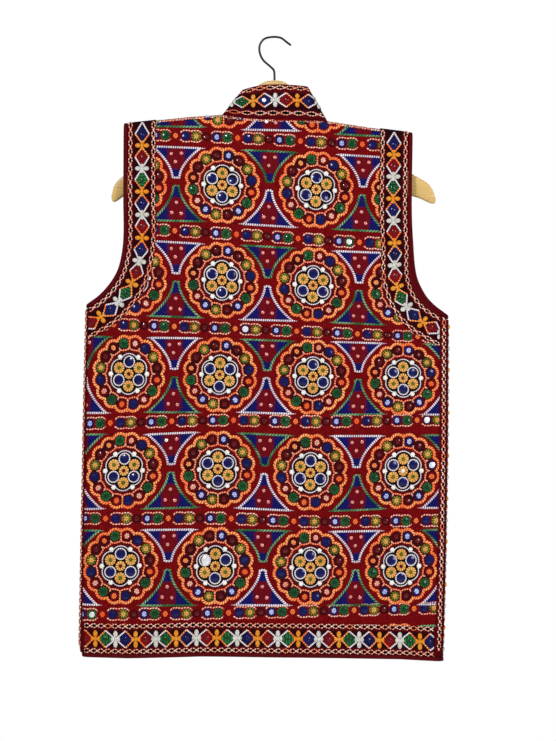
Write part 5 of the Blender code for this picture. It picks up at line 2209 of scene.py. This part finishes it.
        def plan(places: np.ndarray) -> tuple[np.ndarray, np.ndarray]:
            """Planned points and faces of places on the strip, which turns round the side."""
            z = top - places[:, 0]
            offset = places[:, 1] + middle
            x = FORM.side_x(z, side) + side.value * round_turn(np.abs(offset))
            return np.stack((x, z), axis=1), np.where(offset <= 0, -1.0, 1.0)

        length = top - low
        edge_row = half_width - 5.2 * MM
        row = diamond_row("GBR" * 6, SIDE_ROW).moved(14.0 * MM)
        chains = chain_rows(length, [Chain(9.6 * MM, 5.6 * MM, sign * edge_row) for sign in (-1, 1)], 400)

        def inside(places: np.ndarray) -> np.ndarray:
            """On the strip, below the armhole and above the hem's binding."""
            offset = round_turn(np.abs(places[:, 1] + middle))
            points = plan(places)[0]
            ceiling = np.interp(offset, gaps[:half], edge[:half, 1])
            floor = FORM.hem_z(points[:, 0], BINDING_WIDTH + 0.5 * MM)
            across = np.abs(places[:, 1]) < half_width
            return (points[:, 1] < ceiling - 0.3 * MM) & (points[:, 1] > floor) & across

        patch = joined([row, *chains])
        sewn = self.sew(f"{node}_stitches", patch, plan, inside, 410, joined_cloth=True)

    def hem_strip(self, face: Face, side: Side | None) -> None:
        """The strip along the hem between the side strips."""
        insets = tuple(self.panels.band_reach(which, face) + SEAM_GAP for which in Side)
        low, high = self.panels.hem_ends(side, STRIP_LEVEL, insets)
        xs = np.linspace(low, high, 72 if side is None else 36)
        rises = np.linspace(BINDING_WIDTH + 2 * SEAM_GAP, HEM_BAND_HEIGHT, 9)
        grid = np.stack(np.broadcast_arrays(xs[:, None], FORM.hem_z(xs)[:, None] + rises[None]), axis=2)
        middle = float(rises.mean())
        near = np.stack((xs, FORM.hem_z(xs) + rises[0]), axis=1)
        far = np.stack((xs, FORM.hem_z(xs) + rises[-1]), axis=1)
        strip = Strip(near, far, np.full(len(xs), float(face.value)), float(rises[-1] - rises[0]))
        uvs = self.uv_grid(xs[:, None] - xs[0], (rises - middle)[None])
        node = "hem_band_back" if side is None else f"hem_band_front_{side.word}"
        base = SEAM_GAP + BORDER
        cloth = self.shop.shell(f"{node}_cloth", grid, face.value, base, BORDER, STRIP_GROUND, uvs)
        self.shop.add(cloth, "border_cloth", [node])
        first = (85.0 - HOOK_PIXEL[0]) * MM_PER_PIXEL * MM
        row = diamond_row("RGB" * 7, HEM_ROW).moved(1.2 * MM, -0.6 * MM)
        chains = chain_rows(0.56, HEM_CHAINS, 500, -0.02)
        patch = joined([row, *chains]).moved(first - xs[0])

        def inside(places: np.ndarray) -> np.ndarray:
            """Between the ends of the strip."""
            return (places[:, 0] > 0.6 * MM) & (places[:, 0] < strip.length - 0.6 * MM)

        sewn = self.sew(f"{node}_stitches", patch, strip.plan, inside, 510)

    def collar(self) -> None:
        """The stand collar, one wall round the neck that is open at the front."""
        angles = np.linspace(0.0, math.pi / 2, 30)[1:]
        fronts = {}
        for side in Side:
            fronts[side] = (FORM.front_neck(side, angles), FORM.front_neck(side, angles, top=True))
        fine = np.array([0.0, 0.6, 1.4, 2.6, 4.4, 6.6, 9.2, 12.0])
        steps = np.concatenate((fine, np.linspace(15.0, 129.0, 40), 144.1 - fine[::-1]))
        base_x = NECK_SEAM[0][0] + steps * MM
        base_line, top_line = smooth_line(NECK_SEAM, 12), smooth_line(COLLAR_TOP, 12)
        back_base = np.stack((base_x, np.interp(base_x, base_line[:, 0], base_line[:, 1])), axis=1)
        share = (base_x - base_x[0]) / (base_x[-1] - base_x[0])
        top_x = COLLAR_TOP[0][0] + share * (COLLAR_TOP[-1][0] - COLLAR_TOP[0][0])
        back_top = np.stack((top_x, np.interp(top_x, top_line[:, 0], top_line[:, 1])), axis=1)
        left, right = fronts[Side.LEFT], fronts[Side.RIGHT]
        base = np.concatenate((left[0][::-1], back_base, right[0]))
        top = np.concatenate((left[1][::-1], back_top, right[1]))
        count = len(angles)
        face = np.concatenate((np.full(count, 1.0), np.full(len(base_x), -1.0), np.full(count, 1.0)))
        height = float(np.linalg.norm(top - base, axis=1).mean())
        shares = np.linspace(0.0, 1.0, 11)
        grid = base[:, None] + (top - base)[:, None] * shares[None, :, None]
        middle_line = (base + top) / 2
        along = lengths_along(middle_line)
        uvs = np.stack(np.broadcast_arrays(along[:, None], (shares - 0.5)[None] * height), axis=2)
        faces_grid = np.broadcast_to(face[:, None], grid.shape[:2])
        cloth = self.shop.shell("collar_cloth", grid, faces_grid, 0.0, WALL, STRIP_GROUND, uvs, True)
        self.shop.add(cloth, "border_cloth", ["collar"])
        strip = Strip(base, top, face, height)
        green = (242.3 - HOOK_PIXEL[0]) * MM_PER_PIXEL * MM
        start = float(np.interp(green, middle_line[count:-count, 0], along[count:-count]))
        row = diamond_row("RBRB" + "GBRBGRBG", COLLAR_ROW)
        chains = chain_rows(strip.length, COLLAR_CHAINS, 600)
        patch = joined([row.moved(start - 4 * COLLAR_ROW.pitch, 2.2 * MM), *chains])
        first, last = float(along[count]), float(along[-count - 1])

        def upright(places: np.ndarray) -> tuple[np.ndarray, np.ndarray]:
            """Planned points and faces on the back half, with its rows kept level."""
            s, xs = places[:, 0], middle_line[:, 0]
            x = np.interp(s, along, xs)
            x += np.minimum(s - first, 0.0) - (np.interp(np.minimum(s, first), along, xs) - xs[count])
            x += np.maximum(s - last, 0.0) - (np.interp(np.maximum(s, last), along, xs) - xs[-count - 1])
            low = np.interp(x, base_line[:, 0], base_line[:, 1])
            high = np.interp(x, top_line[:, 0], top_line[:, 1])
            z = low + (high - low) * (places[:, 1] / height + 0.5)
            return np.stack((x, z), axis=1), np.full(len(x), -1.0)

        def on_back(places: np.ndarray) -> np.ndarray:
            """On the back half, between its two edges."""
            points = upright(places)[0]
            ends = [np.array(sorted(edge, key=lambda spot: spot[1])) for edge in COLLAR_EDGES]
            edges = [np.interp(points[:, 1], end[:, 1], end[:, 0]) for end in ends]
            clear = (points[:, 0] > edges[0] + 0.5 * MM) & (points[:, 0] < edges[1] - 0.5 * MM)
            return clear & (places[:, 0] > first - 0.02) & (places[:, 0] < last + 0.02)

        def on_front(places: np.ndarray) -> np.ndarray:
            """On either front part, clear of the back half and the ends."""
            off_back = (places[:, 0] < first - 0.5 * MM) | (places[:, 0] > last + 0.5 * MM)
            return off_back & (places[:, 0] > 0.8 * MM) & (places[:, 0] < strip.length - 0.8 * MM)

        sewn = [
            self.sew(f"collar_stitches_{word}", patch, plan, inside, 610, 0.0, True)
            for word, plan, inside in (("back", upright, on_back), ("front", strip.plan, on_front))
        ]

    def build(self) -> None:
        """Make every border strip."""
        for side in Side:
            for face in Face:
                self.armhole(side, face)
            self.side_strip(side)
            self.hem_strip(Face.FRONT, side)
        self.hem_strip(Face.BACK, None)
        self.collar()


@dataclass
class Bindings:
    """The plain strips folded over the armholes' and the hem's edges."""

    shop: Workshop
    panels: Panels
    half_width: float = 0.0030
    half_thick: float = 0.0015
    thickness: float = 0.0005
    cut_width: float = 0.0145

    def fold(
        self, name: str, centres: np.ndarray, outs: np.ndarray, inward: np.ndarray
    ) -> tuple[bpy.types.Mesh, float]:
        """A strip folded round an edge.

        Args:
            name: the piece's name.
            centres: points along the middle of the folded strip.
            outs: the outward direction at each.
            inward: the direction towards the panel at each.

        Returns:
            The mesh and its length.
        """
        shares = np.linspace(-1.0, 1.0, 13)
        spots = np.zeros((len(centres), len(shares), 3))
        for k, share in enumerate(shares):
            bend = share * math.pi * 0.80
            wide, rise = (math.copysign(abs(v) ** 0.7, v) for v in (-math.cos(bend), math.sin(bend)))
            spots[:, k] = centres + inward * self.half_width * wide + outs * self.half_thick * rise
        along = lengths_along(centres)
        uvs = np.stack(np.broadcast_arrays(along[:, None], (shares * 7.0 * MM)[None]), axis=2)
        return self.shop.grid_mesh(name, spots, uvs, spots - centres[:, None]), float(along[-1])

    def wrap(
        self,
        node: str,
        points: np.ndarray,
        faces: np.ndarray,
        closed: bool,
        cloth: Cloth,
        inward_plan: np.ndarray,
    ) -> None:
        """Make one binding.

        Args:
            node: the CAD node that it stands for.
            points: planned points of its middle line.
            faces: -1 on the back and +1 on the front, for each.
            closed: whether it meets its own start.
            cloth: its finish.
            inward_plan: planned direction towards the panel, for each.
        """
        middle = (BORDER - WALL) / 2
        centres = FORM.lay(points, middle, faces, True)
        outs = FORM.lay(points, middle + MM, faces, True) - centres
        outs /= np.linalg.norm(outs, axis=1)[:, None]
        tangent = tangents(centres, closed)
        outs -= tangent * (outs * tangent).sum(1)[:, None]
        outs /= np.linalg.norm(outs, axis=1)[:, None]
        inward = np.cross(tangent, outs)
        inner = FORM.lay(points + inward_plan * 0.5 * MM, middle, faces, True) - centres
        flip = np.sign((inward * inner).sum(1))
        flip[flip == 0] = 1.0
        inward *= flip[:, None]
        mesh, length = self.fold(f"{node}_strip", centres, outs, inward)
        item = self.shop.walled(mesh, cloth, self.thickness)
        self.shop.add(item, "binding_cloth", [node])

    def armhole(self, side: Side) -> None:
        """The binding once round an armhole, up the back and down the front."""
        curve = self.panels.clipped_curve(side, BINDING_WIDTH / 2)
        edge = even(curve, CURVE_POINTS)
        inward = -left_of(edge) * side.value
        along = lengths_along(edge)
        gaps = FORM.seam_distance(edge, side)
        turns = self.panels.turn_offsets()
        half = CURVE_POINTS // 2
        low = np.interp(turns, gaps[:half], along[:half])
        high = along[-1] - turns[::-1]
        stops = np.concatenate((low, np.linspace(low[-1], high[0], 70)[1:-1], high))
        line = at_lengths(edge, stops)
        ways = np.stack([np.interp(stops, along, inward[:, k]) for k in (0, 1)], axis=1)
        points = np.concatenate((line, line[-2::-1]))
        inwards = np.concatenate((ways, ways[-2::-1]))
        faces = np.concatenate((np.full(len(line), -1.0), np.full(len(line) - 1, 1.0)))
        cloth = LEFT_BINDING if side is Side.LEFT else RIGHT_BINDING
        self.wrap(f"armhole_binding_{side.word}", points, faces, True, cloth, inwards)

    def hem(self, face: Face, side: Side | None) -> None:
        """The binding along the lower edge of one panel."""
        low, high = self.panels.hem_ends(side, HEM_LEVEL, (0.0, 0.0))
        turns = self.panels.turn_offsets()
        left = low + turns if side is not Side.RIGHT else np.array([low])
        right = high - turns[::-1] if side is not Side.LEFT else np.array([high])
        xs = np.concatenate((left, np.linspace(left[-1], right[0], 90 if side is None else 46)[1:-1], right))
        points = np.stack((xs, FORM.hem_z(xs, BINDING_WIDTH / 2)), axis=1)
        up = np.broadcast_to(np.array((0.0, 1.0)), points.shape)
        name = "hem_binding_back" if side is None else f"hem_binding_front_{side.word}"
        faces = np.full(len(points), float(face.value))
        self.wrap(name, points, faces, False, LEFT_BINDING, up)

    def build(self) -> None:
        """Make the five bindings."""
        for side in Side:
            self.armhole(side)
            self.hem(Face.FRONT, side)
        self.hem(Face.BACK, None)


@dataclass
class Hanger:
    """The wooden bar and its wire hook."""

    shop: Workshop

    def edges(self) -> tuple[np.ndarray, np.ndarray]:
        """The bar's upper and lower edge from tip to tip, as (x, z)."""
        left, right = np.array(BAR_LEFT), np.array(BAR_RIGHT)
        tip, end = int(left[:, 0].argmin()), int(right[:, 0].argmax())
        upper = smooth_line((*left[tip::-1], *right[: end + 1]), 8)
        lower = smooth_line((*left[tip:], *right[:end - 1:-1]), 8)
        return upper, lower

    def bar(self) -> None:
        """The bar, rounded along its edges and at its tips."""
        upper, lower = self.edges()
        low, high = upper[0, 0], upper[-1, 0]
        turns = np.linspace(0.0, math.pi, 150)
        xs = low + (high - low) * (0.5 - 0.5 * np.cos(turns))
        tops = np.interp(xs, upper[:, 0], upper[:, 1])
        lows = np.interp(xs, lower[:, 0], lower[:, 1])
        lows[[0, -1]] = tops[[0, -1]]
        spots = np.zeros((len(xs), 29, 3))
        lifts = np.zeros_like(spots)
        for row, (x, top, bottom) in enumerate(zip(xs, tops, lows)):
            tall, deep = (top - bottom) / 2, BAR_THICKNESS / 2
            radius = min(0.0035, tall)
            for column in range(29):
                corner, step = divmod(min(column, 27), 7)
                angle = math.pi / 2 * (corner + step / 6)
                way = ((1, 1), (-1, 1), (-1, -1), (1, -1))[corner]
                y = way[0] * (deep - radius) + radius * math.cos(angle)
                z = way[1] * (tall - radius) + radius * math.sin(angle)
                y *= min(1.0, 0.62 + 0.38 * max(tall + z, 0.0) / 0.0062)
                spots[row, column] = (x, y, (top + bottom) / 2 + z)
                lifts[row, column] = (0.0, y, z)
            spots[row, 28], lifts[row, 28] = spots[row, 0], lifts[row, 0]
        squeeze = np.sqrt(np.clip((tops - lows) / 0.009, 0.0, 1.0))
        spots[:, :, 1] *= squeeze[:, None]
        uvs = np.zeros((len(xs), 29, 2))
        uvs[:, :, 0] = xs[:, None]
        mesh = self.shop.grid_mesh("hanger_bar_wood", spots, uvs, lifts)
        mesh.materials.append(self.shop.finish(Wood()))
        self.shop.add(bpy.data.objects.new("hanger_bar_wood", mesh), "lacquered_wood", ["hanger_bar"])

    def hook(self) -> None:
        """The wire hook that stands in the bar's neck."""
        line = smooth_line(HOOK_LINE, 10)
        curve = bpy.data.curves.new("hook_line", "CURVE")
        curve.dimensions = "3D"
        spline = curve.splines.new("POLY")
        spline.points.add(len(line) - 1)
        for knot, (x, z) in zip(spline.points, line):
            knot.co = (x, 0.0, z, 1.0)
        curve.bevel_depth = HOOK_WIRE / 2
        curve.bevel_resolution = 5
        curve.use_fill_caps = True
        holder = bpy.data.objects.new("hook_line", curve)
        bpy.context.scene.collection.objects.link(holder)
        bpy.context.view_layer.update()
        ready = holder.evaluated_get(bpy.context.evaluated_depsgraph_get())
        mesh = bpy.data.meshes.new_from_object(ready)
        bpy.data.objects.remove(holder, do_unlink=True)
        mesh.name = "hanger_hook_wire"
        mesh.materials.clear()
        mesh.materials.append(self.shop.finish(Steel()))
        mesh.shade_smooth()
        mesh.set_sharp_from_angle(angle=math.radians(50))
        self.shop.add(bpy.data.objects.new("hanger_hook_wire", mesh), "steel_wire", ["hanger_hook"])

    def build(self) -> None:
        """Make the bar and the hook."""
        self.bar()
        self.hook()


@dataclass
class Studio:
    """The camera, the soft lights and the pale floor."""

    distance: float = 4.0
    floor_z: float = -1.60
    floor_radius: float = 4.8

    def camera(self) -> None:
        """A camera square to the vest's back, at the picture's framing."""
        width, height = IMAGE
        x = (width / 2 - HOOK_PIXEL[0]) * MM_PER_PIXEL * MM
        z = -(height / 2 - HOOK_PIXEL[1]) * MM_PER_PIXEL * MM
        data = bpy.data.cameras.new("camera")
        data.sensor_fit = "VERTICAL"
        data.sensor_height = 36.0
        data.lens = data.sensor_height * self.distance / (height * MM_PER_PIXEL * MM)
        item = bpy.data.objects.new("camera", data)
        item.location = (x, -self.distance, z)
        item.rotation_euler = (math.pi / 2, 0.0, 0.0)
        bpy.context.scene.collection.objects.link(item)
        bpy.context.scene.camera = item

    def light(self, name: str, place: Vector, size: float, power: float) -> None:
        """A square soft light that looks at the vest."""
        data = bpy.data.lights.new(name, "AREA")
        data.size = size
        data.energy = power
        item = bpy.data.objects.new(name, data)
        item.location = place
        item.rotation_euler = (Vector((0.0, 0.0, -0.45)) - place).to_track_quat("-Z", "Y").to_euler()
        bpy.context.scene.collection.objects.link(item)

    def world(self) -> None:
        """White surroundings for the eye, a softer grey for the light they give."""
        world = bpy.data.worlds.new("studio")
        bpy.context.scene.world = world
        world.use_nodes = True
        tree = world.node_tree
        tree.nodes.clear()
        path = add_node(tree, "LightPath")
        seen = add_node(tree, "Background", {"Color": (1.0, 1.0, 1.0, 1.0), "Strength": 1.0})
        lit = add_node(tree, "Background", {"Color": (0.95, 0.97, 1.0, 1.0), "Strength": 0.34})
        ways = {0: path.outputs["Is Camera Ray"], 1: lit.outputs[0], 2: seen.outputs[0]}
        mix = add_node(tree, "MixShader", {}, ways)
        add_node(tree, "OutputWorld", {}, {0: mix.outputs[0]})

    def floor(self) -> None:
        """A plain pale floor, well below the hanging vest."""
        bm = bmesh.new()
        bmesh.ops.create_circle(bm, cap_ends=True, segments=96, radius=self.floor_radius)
        bmesh.ops.translate(bm, verts=bm.verts[:], vec=(0.0, 0.0, self.floor_z))
        mesh = bpy.data.meshes.new("floor")
        bm.to_mesh(mesh)
        bm.free()
        make = Surface("pale_painted_floor", 0.9)
        place = make.add("TexCoord").outputs["Object"]
        cloud = make.add("TexNoise", {"Scale": 1.4}, {"Vector": place})
        tones = {"data_type": "RGBA", 6: linear("#F6F5F3"), 7: linear("#EFEEEB")}
        colour = make.add("Mix", tones, {0: cloud.outputs["Fac"]})
        mesh.materials.append(make.finished({"Base Color": colour.outputs[2]}))
        item = bpy.data.objects.new("floor", mesh)
        bpy.context.scene.collection.objects.link(item)

    def build(self) -> None:
        """Set up the whole studio."""
        self.camera()
        self.world()
        self.floor()
        self.light("key", Vector((-1.3, -3.0, 1.5)), 0.5, 92.0)
        self.light("fill", Vector((1.9, -2.6, 0.2)), 1.0, 50.0)
        self.light("behind", Vector((0.6, 3.0, 1.2)), 2.0, 60.0)
        view = bpy.context.scene.view_settings
        view.view_transform = "Standard"
        view.look = "None"


def main() -> None:
    """Dress the whole part."""
    logging.basicConfig(level=logging.INFO, format="%(message)s")
    shop = Workshop()
    Studio().build()
    panels = Panels(shop)
    panels.build()
    Borders(shop, panels).build()
    Bindings(shop, panels).build()
    Hanger(shop).build()
    LOG.info("in all: %d triangles", shop.total)


if __name__ == "__main__":
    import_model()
    main()
